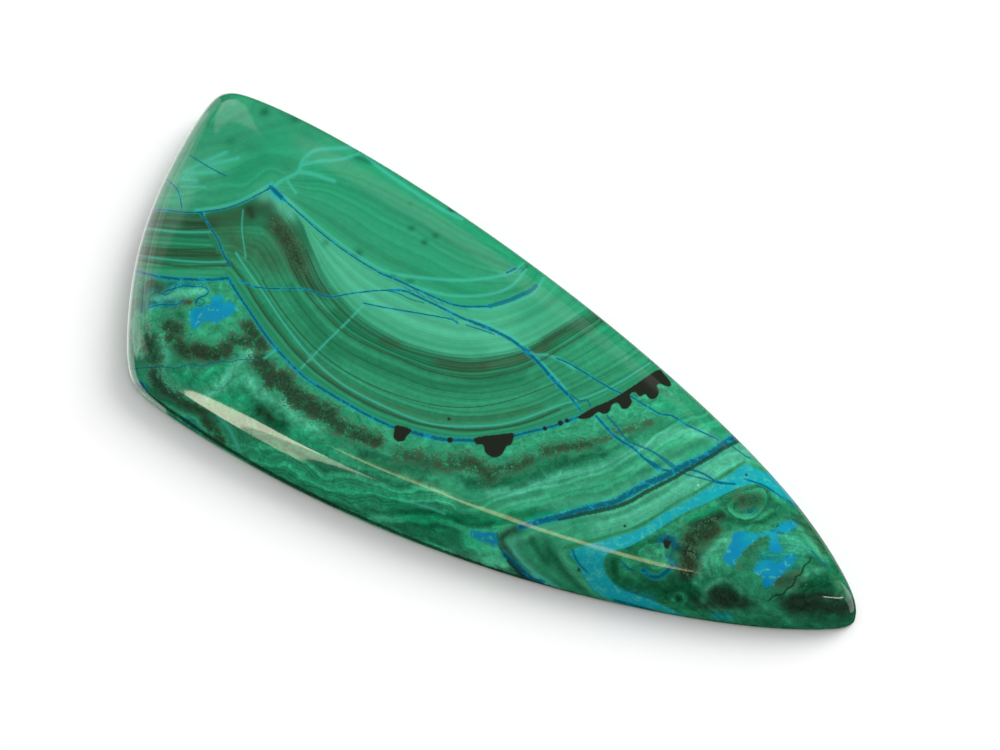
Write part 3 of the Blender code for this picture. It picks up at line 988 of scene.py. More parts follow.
    "tip, lobe core": Wash(Shade.NEAR_BLACK, ((716, 598), (726, 600)), 10, 0.8),
    "tip, left lobe": Wash(Shade.DEEP_GREEN, ((672, 590), (684, 586), (696, 590)), 9, 0.9),
    "tip, below the lobe": Wash(Shade.NEAR_BLACK, ((748, 604), (754, 606)), 8, 0.6),
    "tip, lobe rim": Wash(
        Shade.PALE_GREEN, ((702, 604), (706, 591), (714, 583), (724, 580), (734, 583), (741, 592)),
        2.8, 0.75),
    "tip, arch": Wash(Shade.PALE_GREEN, ((789, 592), (798, 582), (808, 573), (822, 569)), 3.2, 0.7),
    "tip, last lobe": Wash(Shade.DEEP_GREEN, ((806, 588), (816, 582), (828, 584)), 9, 0.9),
    "tip, end": Wash(Shade.NEAR_BLACK, ((792, 606), (812, 606), (830, 610), (846, 608)), 13, 0.9),
    "tip, end light": Wash(Shade.BAND_GREEN, ((806, 616), (820, 614), (836, 618)), 5, 0.5),
    "tip, dark band": Wash(Shade.NEAR_BLACK, ((792, 598), (810, 596), (826, 596), (838, 598)), 4, 0.7),
    # painted reflection: a lighter grey-olive patch on the facet at the tip's end
    "tip, last edge, painted reflection": Wash(Shade.OLIVE, ((836, 582), (842, 592)), 5, 0.6),
    "tip, foot": Wash(Shade.DEEP_GREEN, ((656, 596), (690, 604), (704, 606)), 7, 0.6),
    "tip, foot light": Wash(Shade.LEAF_GREEN, ((700, 612), (716, 610), (740, 612), (762, 610)), 4, 0.6),
    "tip, small ring": Wash(
        Shade.LEAF_GREEN, ((673, 600), (675, 595), (681, 594), (685, 599), (683, 604)), 1.8, 0.8),
    "tip, ring core": Wash(Shade.DEEP_GREEN, ((679, 599), (680, 600)), 3, 0.9),
    "tip, left crest": Wash(Shade.LEAF_GREEN, ((694, 582), (702, 587), (706, 594), (704, 600)), 2.4, 0.8),
    "tip, low light": Wash(Shade.LEAF_GREEN, ((754, 596), (764, 604), (776, 612), (790, 622)), 4, 0.6),
    "tip, foot lobes": Wash(Shade.NEAR_BLACK, ((694, 600), (702, 606), (738, 606), (744, 600)), 5, 0.6),
    "tip, dark heart": Wash(Shade.NEAR_BLACK, ((685, 550), (691, 560), (687, 570)), 7, 0.85),
    "tip, dark foot": Wash(Shade.DEEP_GREEN, ((640, 590), (658, 592), (668, 592)), 6, 0.6),
    "tip, lobe heart": Wash(Shade.SOOT_OLIVE, ((711, 595), (722, 592), (734, 597)), 8, 0.85),
    "tip, end dark": Wash(Shade.SOOT_OLIVE, ((786, 602), (806, 605), (826, 606)), 7, 0.6),
    "tip, last lobe, dark": Wash(Shade.DEEP_GREEN, ((808, 588), (818, 584), (830, 586)), 6, 0.6),
    "eye, disc": Wash(Shade.PALE_GREEN, ((656, 556), (660, 556)), 8, 0.6),
    "eye, left shade": Wash(Shade.DEEP_GREEN, ((634, 556), (642, 560), (646, 568)), 5, 0.6),
    "eye, core": Wash(Shade.MID_GREEN, ((657, 556), (658, 556)), 5, 0.9),
    "eye, ring": Wash(Shade.DEEP_BLUE, ((668, 555), (674, 566)), 4, 0.6),
    "eye, halo": Wash(Shade.DEEP_BLUE, ((661, 541), (667, 538), (673, 541), (675, 546)), 4.5, 0.9),
    "cell corner, dark": Wash(
        Shade.NEAR_BLACK, ((520, 528), (508, 532), (502, 540), (506, 550), (514, 562), (528, 576)),
        5, 0.85),
    "pool, pale": Wash(
        Shade.MINT, ((158, 299), (168, 296.5), (180, 294), (192, 292), (203, 291)), 4.2, 0.8),
    "pool, grey": Wash(Shade.VEIN_BLUE, ((142, 308), (156, 303), (172, 303)), 5, 0.5),
    "pool, blue top": Wash(Shade.VEIN_BLUE, ((142, 291), (154, 288), (170, 285), (190, 284)), 4, 0.45),
    "sea, deep end": Wash(Shade.BRIGHT_BLUE, ((596, 566), (600, 580), (616, 592), (650, 602)), 5, 0.6),
    "lens, smoke": Wash(Shade.DEEP_GREEN, ((355, 156), (370, 162)), 3, 0.6),
    "far rim, speck": Wash(Shade.NEAR_BLACK, ((450, 209), (452, 211)), 2, 0.8),
    "arc, core": Wash(Shade.DARK_OLIVE, ((522, 269), (527, 266)), 2, 0.7),
    "crown, brown spot": Wash(Shade.DEEP_GREEN, ((264, 112), (265, 112)), 5, 0.7),
    "crown, second spot": Wash(Shade.DEEP_GREEN, ((295, 119), (296, 119)), 5, 0.5),
    "crown, third spot": Wash(Shade.MID_GREEN, ((230, 142), (231, 142)), 5, 0.7),
    "crown, cloud": Wash(Shade.MID_GREEN, ((250, 146), (262, 154)), 7, 0.5),
    "lens, first dot": Wash(Shade.DEEP_GREEN, ((411, 228), (412, 228)), 3, 0.6),
    "lens, second dot": Wash(Shade.DEEP_GREEN, ((424, 242), (425, 242)), 3, 0.7),
    "lens, third dot": Wash(Shade.DEEP_GREEN, ((435, 236), (436, 236)), 3, 0.6),
    "rim, first dot": Wash(Shade.DEEP_GREEN, ((392, 275), (394, 275)), 3, 0.6),
    "rim, second dot": Wash(Shade.DEEP_GREEN, ((409, 281), (412, 281)), 3, 0.6),
    "bowl, dot": Wash(Shade.DEEP_GREEN, ((358, 253), (359, 253)), 4, 0.7),
    "bowl, small dot": Wash(Shade.DEEP_GREEN, ((325, 243), (326, 243)), 3, 0.5),
    "pool, brown spot": Wash(Shade.BROWN, ((184, 302), (190, 302)), 3.5, 0.9),
    "pool, smudge": Wash(Shade.DEEP_GREEN, ((180, 313), (182, 317)), 4, 0.7),
}

LAYERINGS = {
    "wedge": Layering(
        ((90, 200), (200, 210), (231, 268), (228, 278), (90, 268)),
        (((100, 274), (230, 278)), ((100, 206), (200, 212), (270, 212))), (11.0,), (0.4,)),
    "bowl": Layering(
        GROUND_ZONES["bowl"].outline,
        (Courses.MOSS_SEAM, Courses.SHORE, Courses.BELT_OUTER + ((640, 280),),
         Courses.BELT_INNER + ((620, 280),), Courses.BOWL_RIM),
        (1.5, 13.0, 6.0, 9.0), (0.25, 0.2, 0.45, 0.15)),
    "moss": Layering(
        GROUND_ZONES["moss"].outline,
        (Courses.MOSS_SEAM,
         ((100, 380), (180, 390), (300, 450), (440, 486), (485, 492), (530, 486), (560, 475),
         (620, 453), (700, 424)),
         ((100, 450), (300, 510), (450, 530), (505, 528)) + Courses.SHOULDER_BLUE), (4.0, 7.0),
         (0.3, 0.55), 1.6),
    "waves": Layering(
        GROUND_ZONES["waves"].outline,
        (((440, 484), (485, 490), (530, 482), (560, 472), (610, 456), (650, 430), (700, 405)),
         Courses.SHOULDER_BLUE),
        (6.0,), (0.26,), 0.9),
    "chevron": Layering(
        GROUND_ZONES["chevron"].outline,
        (Courses.CHEVRON_TOP + Courses.CHEVRON_FOOT[1:], Courses.SEA_UPPER + Courses.SEA_UPPER_FOOT[1:]),
        (3.5,), (0.24,), 0.8),
    "tip": Layering(
        GROUND_ZONES["tip"].outline,
        (Courses.SEA_LOWER + Courses.SEA_LOWER_FOOT[1:],
         ((880, 560), (800, 560), (720, 560), (760, 640))), (7.0,), (0.25,), 1.2),
    "crown": Layering(
        ((100, 80), (320, 80), (330, 150), (300, 165), (270, 188), (240, 203), (200, 212), (100, 208)),
        (Courses.CROWN_SEAM, ((118, 110), (200, 90), (240, 60))), (9.0,), (0.16,), 0.8),
    "lens": Layering(
        ((270, 188), (300, 165), (320, 130), (700, 340), (545, 266)) + Courses.BOWL_RIM[::-1][1:],
        (Courses.BOWL_RIM, ((285, 176), (340, 170), (420, 205), (520, 262))), (9.0,), (0.16,), 0.3),
}

ORBS = {
    "upper": Orb((746, 502), 27, 7.5, 0.75),
    "eye": Orb((657, 556), 18, 6.0, 0.9, 0.4),
    "small": Orb((678, 599), 10, 5.0, 0.9, 0.5),
    "last": Orb((820, 590), 30, 11.0, 0.6, 0.3),
    "corner": Orb((262, 428), 40, 13.0, 0.45, 0.45),
    "left": Orb((214, 372), 34, 11.0, 0.5, 0.45),
}


LINE_FIELDS = {
    "blue_veins": BLUE_VEINS,
    "blue_twigs": BLUE_TWIGS,
    "pale_lines": PALE_LINES,
    "black_lines": BLACK_LINES,
    "dark_lines": DARK_LINES,
}
PATCH_FIELDS = {"black": BLACK_PATCHES, "blue": BLUE_PATCHES, "sea": SEA_PATCHES}
ZONE_GRAINS = {
    "bowl": 0.10, "shore band": 0.22, "moss": 0.7, "waves": 0.4, "chevron": 0.4, "tip": 0.75}


def smooth_course(places: Sequence[Place], pieces: int = 6) -> np.ndarray:
    """A Catmull-Rom curve through the places: cubic pieces whose slopes join each place's neighbours.

    Args:
        places: The places, in pixels of the view.
        pieces: Straight pieces between two places.

    Returns:
        Points along the curve.
    """
    knots = np.array(places, dtype=float)
    if len(knots) == 2:
        return knots
    before = np.vstack((2.0 * knots[0] - knots[1], knots[:-2], knots[-2:-1]))[: len(knots) - 1]
    after = np.vstack((knots[2:], 2.0 * knots[-1] - knots[-2]))
    start = knots[:-1]
    end = knots[1:]
    share = np.linspace(0.0, 1.0, pieces, endpoint=False)[None, :, None]
    linear = (end - before)[:, None]
    square = (2.0 * before - 5.0 * start + 4.0 * end - after)[:, None]
    cube = (3.0 * (start - end) + after - before)[:, None]
    curve = start[:, None] + 0.5 * (linear * share + square * share**2 + cube * share**3)
    return np.vstack((curve.reshape(-1, 2), knots[-1]))


def nearest_offset(points: np.ndarray, course: np.ndarray) -> tuple[np.ndarray, np.ndarray, np.ndarray]:
    """The offset of each point from the nearest place on a course.

    Args:
        points: Points in the drawing, as count by 2.
        course: Points along the course.

    Returns:
        The offsets, for each the share of the course's length at its nearest place, and the distances
        with the sign of the side that the point is on.
    """
    best = np.full(len(points), np.inf)
    offset = np.zeros_like(points)
    place = np.zeros(len(points))
    signed = np.zeros(len(points))
    steps = np.hypot(*np.diff(course, axis=0).T)
    reached = np.concatenate(((0.0,), np.cumsum(steps)))
    for start, end, length, done in zip(course[:-1], course[1:], steps, reached):
        run = (end - start) / max(length, SHORTEST)
        along = np.clip((points - start) @ run, 0.0, length)
        away = points - start - along[:, None] * run
        squared = (away * away).sum(axis=1)
        is_nearer = squared < best
        best = np.where(is_nearer, squared, best)
        offset = np.where(is_nearer[:, None], away, offset)
        place = np.where(is_nearer, done + along, place)
        side = np.where(run[0] * away[:, 1] < run[1] * away[:, 0], -1.0, 1.0)
        signed = np.where(is_nearer, side * np.sqrt(squared), signed)
    return offset, place / max(reached[-1], SHORTEST), signed


def distance_inside(points: np.ndarray, outline: Sequence[Place]) -> np.ndarray:
    """Distance in from an outline: the nearest edge, signed by counting crossings.

    Args:
        points: Points in the drawing, as count by 2.
        outline: The outline's corners.

    Returns:
        The distance for each point, negative outside.
    """
    corners = np.array(outline, dtype=float)
    offset, _, _ = nearest_offset(points, np.vstack((corners, corners[:1])))
    crossings = np.zeros(len(points), dtype=int)
    for (x0, y0), (x1, y1) in zip(corners, np.roll(corners, -1, axis=0)):
        if y0 == y1:
            continue
        spans = (points[:, 1] >= min(y0, y1)) & (points[:, 1] < max(y0, y1))
        meets = x0 + (points[:, 1] - y0) * (x1 - x0) / (y1 - y0)
        crossings += spans & (points[:, 0] < meets)
    return np.hypot(*offset.T) * np.where(crossings % 2 == 1, 1.0, -1.0)


def rounded(outline: Sequence[Place]) -> np.ndarray:
    """A closed outline with its corners eased by the same curve as the strokes.

    Args:
        outline: The outline's corners.

    Returns:
        Points round the eased outline.
    """
    overlap = 2
    wrapped = tuple(outline[-overlap:]) + tuple(outline) + tuple(outline[:overlap])
    curve = smooth_course(wrapped, EASE_PIECES)
    return curve[overlap * EASE_PIECES:-overlap * EASE_PIECES]


def near(points: np.ndarray, places: Sequence[Place], margin: float) -> np.ndarray:
    """Whether each point lies within a margin of the places' box.

    Args:
        points: Points in the drawing, as count by 2.
        places: The places.
        margin: The margin, in pixels.

    Returns:
        A mask over the points.
    """
    low = np.min(np.array(places), axis=0) - margin
    high = np.max(np.array(places), axis=0) + margin
    return ((points >= low) & (points <= high)).all(axis=1)


def eased(value: np.ndarray) -> np.ndarray:
    """A smooth step: 3 v^2 - 2 v^3 over the value held between 0 and 1."""
    held = np.clip(value, 0.0, 1.0)
    return held * held * (3.0 - 2.0 * held)


def wavering(places: np.ndarray, size: float, seed: int) -> np.ndarray:
    """A smooth wandering field: a sum of sine waves of nearby sizes in seeded directions.

    Args:
        places: Where the field is read.
        size: Size of the waves, in the places' own unit.
        seed: Seed of the directions, the sizes and the phases.

    Returns:
        The field, about -1 to 1.
    """
    chance = np.random.default_rng(seed)
    total = np.zeros(len(places))
    for _ in range(WAVE_COUNT):
        way = chance.normal(size=places.shape[1])
        way *= chance.uniform(0.7, 1.6) / (np.linalg.norm(way) * size)
        total += np.sin(places @ way * 2.0 * math.pi + chance.uniform(0.0, 2.0 * math.pi))
    return total / WAVE_COUNT**0.5


@dataclass(frozen=True)
class Sight:
    """The camera's own geometry, which the drawing shares.

    Attributes:
        azimuth: Turn of the camera about the upright, in degrees.
        elevation: Its angle above the table, in degrees.
        distance: From the camera to its aim, in metres.
        aim: The point that it looks at.
        lens: Focal length, in millimetres.
        sensor: Sensor width, in millimetres.
    """

    azimuth: float = 31.0
    elevation: float = 60.0
    distance: float = 0.290
    aim: tuple[float, float, float] = (-0.00072, 0.00269, 0.0)
    lens: float = 150.0
    sensor: float = 36.0

    @property
    def axes(self) -> np.ndarray:
        """Unit vectors to the right, up and back toward the camera.

        Returns:
            The three vectors, as rows.
        """
        turn = math.radians(self.azimuth)
        lift = math.radians(self.elevation)
        level = math.cos(lift)
        back = np.array((math.sin(turn) * level, -math.cos(turn) * level, math.sin(lift)))
        right = np.array((math.cos(turn), math.sin(turn), 0.0))
        return np.stack((right, np.cross(back, right), back))

    @property
    def position(self) -> np.ndarray:
        """Where the camera stands."""
        return np.array(self.aim) + self.axes[2] * self.distance

    def drawing_places(self, points: np.ndarray) -> np.ndarray:
        """Places in the view of points in the world.

        Args:
            points: The points, in metres.

        Returns:
            A place for each, in pixels from the view's upper left corner.
        """
        seen = (points - self.position) @ self.axes.T
        scale = self.lens / self.sensor * VIEW_WIDTH / -seen[:, 2]
        across = VIEW_WIDTH / 2.0 + scale * seen[:, 0]
        down = VIEW_HEIGHT / 2.0 - scale * seen[:, 1]
        return np.column_stack((across, down))


@dataclass
class GrowthPattern:
    """The stone's growths as fields over its surface.

    Attributes:
        sight: The view that the drawing is seen from.
        facing_warp: Sideways wander in pixels where the surface faces away from that view.
        warp_size: Size of the wander, in metres.
        warp_seeds: Seeds of the wander across and down.
        warp_onset: How fast the wander grows once the surface faces away.
        wash_margin: Margin within which a wash is worked out, in reaches.
        line_reach: Margin within which a line is worked out, in pixels.
        line_core: Distance from a line in pixels beyond which its third part grows.
        line_hold: Offset in half widths beyond which a line's field is held.
        taper_rate: How fast a line's ends thicken along its length.
        taper_start: Where that thickening starts, as a level of the smooth step.
        patch_reach: Distance in pixels beyond which a patch's field is held.
        plain_sway: How far the layers wander outside every region, in layers.
        region_step: Layer numbers set aside for each region, so that no two share one.
        guide_onset: How fast a new strength comes in after its guide line.
        region_edge: Width in pixels over which a region's layers come in at its outline.
        orb_start: The first orb's layer number.
        orb_sway: How far an orb's rings wander, in layers.
        orb_warp: How far an orb is bent out of round, in rings.
        orb_warp_size: Size of that bend, in pixels.
        orb_warp_seeds: Seeds of that bend across and down.
        plain_grain: Share of the grain outside every zone.
        grain_edge: Width in pixels over which a zone's grain comes in.
    """

    sight: Sight
    facing_warp: float = 14.0
    warp_size: float = 0.011
    warp_seeds: tuple[int, int] = (4, 9)
    warp_onset: float = 2.0
    wash_margin: float = 2.6
    line_reach: float = 14.0
    line_core: float = 1.7
    line_hold: float = 40.0
    taper_rate: float = 8.0
    taper_start: float = 0.45
    patch_reach: float = 14.0
    plain_sway: float = 0.25
    region_step: float = 40.0
    guide_onset: float = 8.0
    region_edge: float = 4.0
    orb_start: float = 400.0
    orb_sway: float = 0.35
    orb_warp: float = 0.6
    orb_warp_size: float = 34.0
    orb_warp_seeds: tuple[int, int] = (21, 22)
    plain_grain: float = 0.12
    grain_edge: float = 3.0

    def places(self, points: np.ndarray, normals: np.ndarray) -> np.ndarray:
        """Drawing places of the surface, with a wander that grows as it faces away from the view.

        Args:
            points: Points of the surface, in metres.
            normals: The way that the surface faces at each.

        Returns:
            A place for each point, in pixels.
        """
        flat = self.sight.drawing_places(points)
        toward = self.sight.position - points
        toward /= np.linalg.norm(toward, axis=1)[:, None]
        away = eased(-(normals * toward).sum(axis=1) * self.warp_onset)
        wander = np.column_stack([wavering(points, self.warp_size, seed) for seed in self.warp_seeds])
        return flat + wander * (away * self.facing_warp)[:, None]

    def ground(self, places: np.ndarray) -> np.ndarray:
        """The ground tone: zones laid over each other, then soft washes, each mixed in by its cover.

        Args:
            places: Places in the drawing.

        Returns:
            A colour for each place, as linear light.
        """
        tone = np.tile(np.array(Shade.LEAF_GREEN.paint[:3]), (len(places), 1))
        for zone in GROUND_ZONES.values():
            inside = distance_inside(places, zone.outline)
            cover = eased(inside / zone.softness + 0.5) * zone.cover
            tone += (np.array(zone.shade.paint[:3]) - tone) * cover[:, None]
        # most washes are the stone's own tones; a few paint reflection haze at the left rim and on the
        # tip's end facet
        for wash in GROUND_WASHES.values():
            cover = self.wash_cover(places, wash)
            tone += (np.array(wash.shade.paint[:3]) - tone) * cover[:, None]
        return tone

    def wash_cover(self, places: np.ndarray, wash: Wash) -> np.ndarray:
        """Cover of a soft stroke: its cover times exp(-(distance / reach)^2).

        Args:
            places: Places in the drawing.
            wash: The soft stroke.

        Returns:
            Its cover at each place.
        """
        cover = np.zeros(len(places))
        chosen = near(places, wash.course, wash.reach * self.wash_margin)
        offset, _, _ = nearest_offset(places[chosen], smooth_course(wash.course))
        cover[chosen] = wash.cover * np.exp(-(offset**2).sum(axis=1) / wash.reach**2)
        return cover

    def moss(self, places: np.ndarray) -> np.ndarray:
        """Thickness of the dark moss: the strongest of its clouds.

        Args:
            places: Places in the drawing.

        Returns:
            The thickness at each place, from 0 to 1.
        """
        thickness = np.zeros(len(places))
        for cloud in MOSS_CLOUDS.values():
            thickness = np.maximum(thickness, self.wash_cover(places, cloud))
        return thickness

    def lines(self, places: np.ndarray, strokes: dict[str, Stroke]) -> np.ndarray:
        """Offsets from the nearest stroke in half widths, and a third part that grows off the line.

        The offset keeps its sign across a line, so that it passes through zero between two vertices.
        The third part is the distance beyond a small reach, and keeps two lines apart.

        Args:
            places: Places in the drawing.
            strokes: The strokes.

        Returns:
            Three parts for each place.
        """
        field = np.full((len(places), 3), self.line_hold)
        size = np.full(len(places), self.line_hold)
        for stroke in strokes.values():
            chosen = np.flatnonzero(near(places, stroke.course, self.line_reach))
            offset, share, _ = nearest_offset(places[chosen], smooth_course(stroke.course))
            away = np.hypot(*offset.T)
            taper = eased(np.minimum(share, 1.0 - share) * self.taper_rate + self.taper_start)
            half = stroke.half_width * (stroke.fade + (1.0 - stroke.fade) * taper)
            beyond = np.maximum(away - self.line_core, 0.0) / half
            scaled = np.column_stack((offset / half[:, None], beyond))
            length = away / half
            is_nearer = length < size[chosen]
            winners = chosen[is_nearer]
            size[winners] = length[is_nearer]
            field[winners] = scaled[is_nearer]
        return np.clip(field, -self.line_hold, self.line_hold)

    def patches(self, places: np.ndarray, outlines: dict[str, tuple]) -> np.ndarray:
        """Distance in from the nearest of several outlines, held within the patches' reach.

        Args:
            places: Places in the drawing.
            outlines: The outlines.

        Returns:
            The distance for each place, negative outside.
        """
        inside = np.full(len(places), -self.patch_reach)
        for outline in outlines.values():
            chosen = near(places, outline, self.patch_reach)
            found = distance_inside(places[chosen], rounded(outline))
            inside[chosen] = np.maximum(inside[chosen], found)
        return np.clip(inside, -self.patch_reach, self.patch_reach)

    def layers(self, places: np.ndarray) -> np.ndarray:
        """Layer number, strength and sway.

        Between two guide lines the number rises by their count times a / (a - b), held between 0 and 1,
        with a and b the signed distances from the first and the second line.

        Args:
            places: Places in the drawing.

        Returns:
            Three parts for each place.
        """
        number = np.zeros(len(places))
        strength = np.zeros(len(places))
        sway = np.full(len(places), self.plain_sway)
        for turn, layering in enumerate(LAYERINGS.values()):
            inside = distance_inside(places, layering.outline)
            chosen = np.flatnonzero(inside > 0.0)
            signed = [nearest_offset(places[chosen], smooth_course(guide, GUIDE_PIECES))[2]
                      for guide in layering.guides]
            own = np.full(len(chosen), self.region_step * turn)
            level = np.full(len(chosen), layering.strengths[0])
            between = zip(signed, signed[1:], layering.counts, layering.strengths)
            for first, second, count, shown in between:
                apart = first - second
                apart = np.where(np.abs(apart) < LEAST_GAP, LEAST_GAP, apart)
                share = np.clip(first / apart, 0.0, 1.0)
                own += count * share
                level += (shown - level) * eased(share * self.guide_onset)
            number[chosen] = own
            strength[chosen] = level * eased(inside[chosen] / self.region_edge)
            sway[chosen] = layering.sway
        wander = np.column_stack(
            [wavering(places, self.orb_warp_size, seed) for seed in self.orb_warp_seeds])
        for turn, orb in enumerate(ORBS.values()):
            away = places + wander * orb.ring * self.orb_warp - np.array(orb.centre)
            radius = np.hypot(away[:, 0], away[:, 1] / orb.squeeze)
            chosen = radius < orb.reach
            number[chosen] = self.orb_start + self.region_step * turn + radius[chosen] / orb.ring
            strength[chosen] = orb.strength * eased((orb.reach - radius[chosen]) / orb.ring)
            sway[chosen] = self.orb_sway
        return np.column_stack((number, strength, sway))

    def grain(self, places: np.ndarray) -> np.ndarray:
        """How grainy the growth is: full in the moss and at the tip, slight elsewhere.

        Args:
            places: Places in the drawing.

        Returns:
            A share for each place, from 0 to 1.
        """
        share = np.full(len(places), self.plain_grain)
        for name, level in ZONE_GRAINS.items():
            inside = distance_inside(places, GROUND_ZONES[name].outline)
            share += (level - share) * eased(inside / self.grain_edge + 0.5)
        return share


class Graph:
    """Builds nodes in a node tree and links what they are given."""

    def __init__(self, tree: bpy.types.NodeTree) -> None:
        """Keep the tree that the nodes go into."""
        self.tree = tree

    def feed(self, socket: Socket, value: Value) -> None:
        """Link a socket to the input, or set the value there.

        Args:
            socket: An input of a node.
            value: What it is fed.
        """
        if isinstance(value, bpy.types.NodeSocket):
            self.tree.links.new(value, socket)
        else:
            socket.default_value = value

    def node(self, kind: str, inputs: dict | None = None, **settings) -> bpy.types.Node:
        """Add a node.

        Args:
            kind: The node's type.
            inputs: What its inputs are fed, by name or number.
            settings: Its own settings.

        Returns:
            The node.
        """
        made = self.tree.nodes.new(kind)
        for name, value in settings.items():
            setattr(made, name, value)
        for key, value in (inputs or {}).items():
            self.feed(made.inputs[key], value)
        return made

    def math(self, operation: str, first: Value, second: Value = 0.0) -> Socket:
        """A sum, product or other operation on two values.

        Args:
            operation: The operation's name.
            first: Its first value.
            second: Its second value, if it takes one.

        Returns:
            The result.
        """
        made = self.node("ShaderNodeMath", {0: first}, operation=operation)
        if len(made.inputs) > 1 and made.inputs[1].enabled:
            self.feed(made.inputs[1], second)
        return made.outputs[0]

    def weighed(self, first: Value, first_share: float, second: Value, second_share: float) -> Socket:
        """The sum of two values, each times its share."""
        weighed_first = self.math("MULTIPLY", first, first_share)
        return self.math("ADD", weighed_first, self.math("MULTIPLY", second, second_share))

    def ease(self, value: Value, low: Value, high: Value, start: float = 0.0, end: float = 1.0) -> Socket:
        """A smooth step of a value.

        Args:
            value: The value.
            low: The level where the step starts.
            high: The level where it ends.
            start: What it gives below the step.
            end: What it gives above it.

        Returns:
            The stepped value.
        """
        inputs = {"Value": value, "From Min": low, "From Max": high, "To Min": start, "To Max": end}
        made = self.node("ShaderNodeMapRange", inputs, interpolation_type="SMOOTHSTEP")
        return made.outputs["Result"]

    def fade(self, value: Value, low: Value, high: Value) -> Socket:
        """One less the smooth step of the value between two levels."""
        return self.math("SUBTRACT", 1.0, self.ease(value, low, high))

    def stretch(self, value: Value, low: float, high: float, start: float, end: float) -> Socket:
        """The value moved in a straight line from one pair of levels to another, held at its ends."""
        inputs = {"Value": value, "From Min": low, "From Max": high, "To Min": start, "To Max": end}
        return self.node("ShaderNodeMapRange", inputs).outputs["Result"]

    def mix(self, share: Value, first: Value, second: Value) -> Socket:
        """A colour between two.

        Args:
            share: Share of the second colour, from 0 to 1.
            first: The first colour.
            second: The second colour.

        Returns:
            The mixed colour.
        """
        made = self.node("ShaderNodeMix", data_type="RGBA")
        self.feed(made.inputs[0], share)
        self.feed(made.inputs[MIX_FIRST], first)
        self.feed(made.inputs[MIX_SECOND], second)
        return made.outputs[MIX_RESULT]

    def lay(self, under: Value, over: Value, mask: Value, cover: Value) -> Socket:
        """One colour laid over another where a mask shows it, as fully as its cover says."""
        return self.mix(self.math("MULTIPLY", mask, cover), under, over)

    def brighten(self, colour: Value, factor: Value) -> Socket:
        """A colour times a factor."""
        made = self.node("ShaderNodeVectorMath", {0: colour, "Scale": factor}, operation="SCALE")
        return made.outputs[0]

    def noise(self, where: Value, scale: float, detail: float = 2.0, roughness: float = 0.5,
              distortion: float = 0.0) -> Socket:
        """Noise in three dimensions.

        Args:
            where: The place it is read at.
            scale: Its scale, per metre.
            detail: How many finer layers of noise it adds.
            roughness: Share of each finer layer in the one before.
            distortion: How far it is twisted out of round.

        Returns:
            The noise, about 0 to 1.
        """
        inputs = {"Vector": where, "Scale": scale, "Detail": detail, "Roughness": roughness,
                  "Distortion": distortion}
        return self.node("ShaderNodeTexNoise", inputs, noise_dimensions="3D").outputs["Fac"]

    def noise_along(self, place: Value, scale: float, detail: float, roughness: float) -> Socket:
        """Noise along one number, about 0 to 1."""
        inputs = {"W": place, "Scale": scale, "Detail": detail, "Roughness": roughness}
        return self.node("ShaderNodeTexNoise", inputs, noise_dimensions="1D").outputs["Fac"]

    def attribute(self, name: str, output: str) -> Socket:
        """A field stored on the surface."""
        return self.node("ShaderNodeAttribute", attribute_name=name).outputs[output]


@dataclass(frozen=True)
class Port:
    """One named socket of a node group.

    Attributes:
        name: Its name.
        kind: Its socket type.
        start: Its value until it is linked, if it has one.
    """

    name: str
    kind: str = "NodeSocketFloat"
    start: float | None = None


class NodeGroup:
    """A node group with named inputs and outputs, built once and used by name."""

    def __init__(self, name: str, inputs: Sequence[Port], outputs: Sequence[Port]) -> None:
        """Make the group and its sockets.

        Args:
            name: The group's name.
            inputs: What it is fed.
            outputs: What it puts out.
        """
        self.tree = bpy.data.node_groups.new(name, "ShaderNodeTree")
        for port in inputs:
            made = self.tree.interface.new_socket(port.name, in_out="INPUT", socket_type=port.kind)
            if port.start is not None:
                made.default_value = port.start
        for port in outputs:
            self.tree.interface.new_socket(port.name, in_out="OUTPUT", socket_type=port.kind)
        self.graph = Graph(self.tree)
        self.entry = self.tree.nodes.new("NodeGroupInput")
        self.exit = self.tree.nodes.new("NodeGroupOutput")

    def given(self, name: str) -> Socket:
        """What the group is fed under a name."""
        return self.entry.outputs[name]

    def give(self, name: str, value: Socket) -> None:
        """Set one of the group's outputs."""
        self.tree.links.new(value, self.exit.inputs[name])

    def placed(self, graph: Graph, inputs: dict[str, Value]) -> Sockets:
        """Place the group in another tree.

        Args:
            graph: The nodes that it goes among.
            inputs: What its inputs are fed, by name.

        Returns:
            Its outputs, by name.
        """
        made = graph.node("ShaderNodeGroup", node_tree=self.tree)
        for key, value in inputs.items():
            graph.feed(made.inputs[key], value)
        return made.outputs


VECTOR = "NodeSocketVector"


@dataclass(frozen=True)
class LineEffect:
    """Masks of a drawn line; its spans are distances from the middle, in half widths."""

    softness: float = 0.35
    glow: Span = (0.6, 3.4)
    core: Span = (0.15, 0.7)

    def group(self) -> NodeGroup:
        """Build the group.

        Returns:
            A group that puts out a frayed body, a wider glow and a narrow core.
        """
        group = NodeGroup(
            "Stroke mask",
            (Port("Offset", VECTOR), Port("Fray"), Port("Softness", start=self.softness)),
            (Port("Body"), Port("Glow"), Port("Core")))
        graph = group.graph
        measured = graph.node("ShaderNodeVectorMath", {0: group.given("Offset")}, operation="LENGTH")
        length = measured.outputs["Value"]
        frayed = graph.math("ADD", length, group.given("Fray"))
        low = graph.math("SUBTRACT", 1.0, group.given("Softness"))
        high = graph.math("ADD", 1.0, group.given("Softness"))
        group.give("Body", graph.fade(frayed, low, high))
        group.give("Glow", graph.fade(length, *self.glow))
        group.give("Core", graph.fade(frayed, *self.core))
        return group


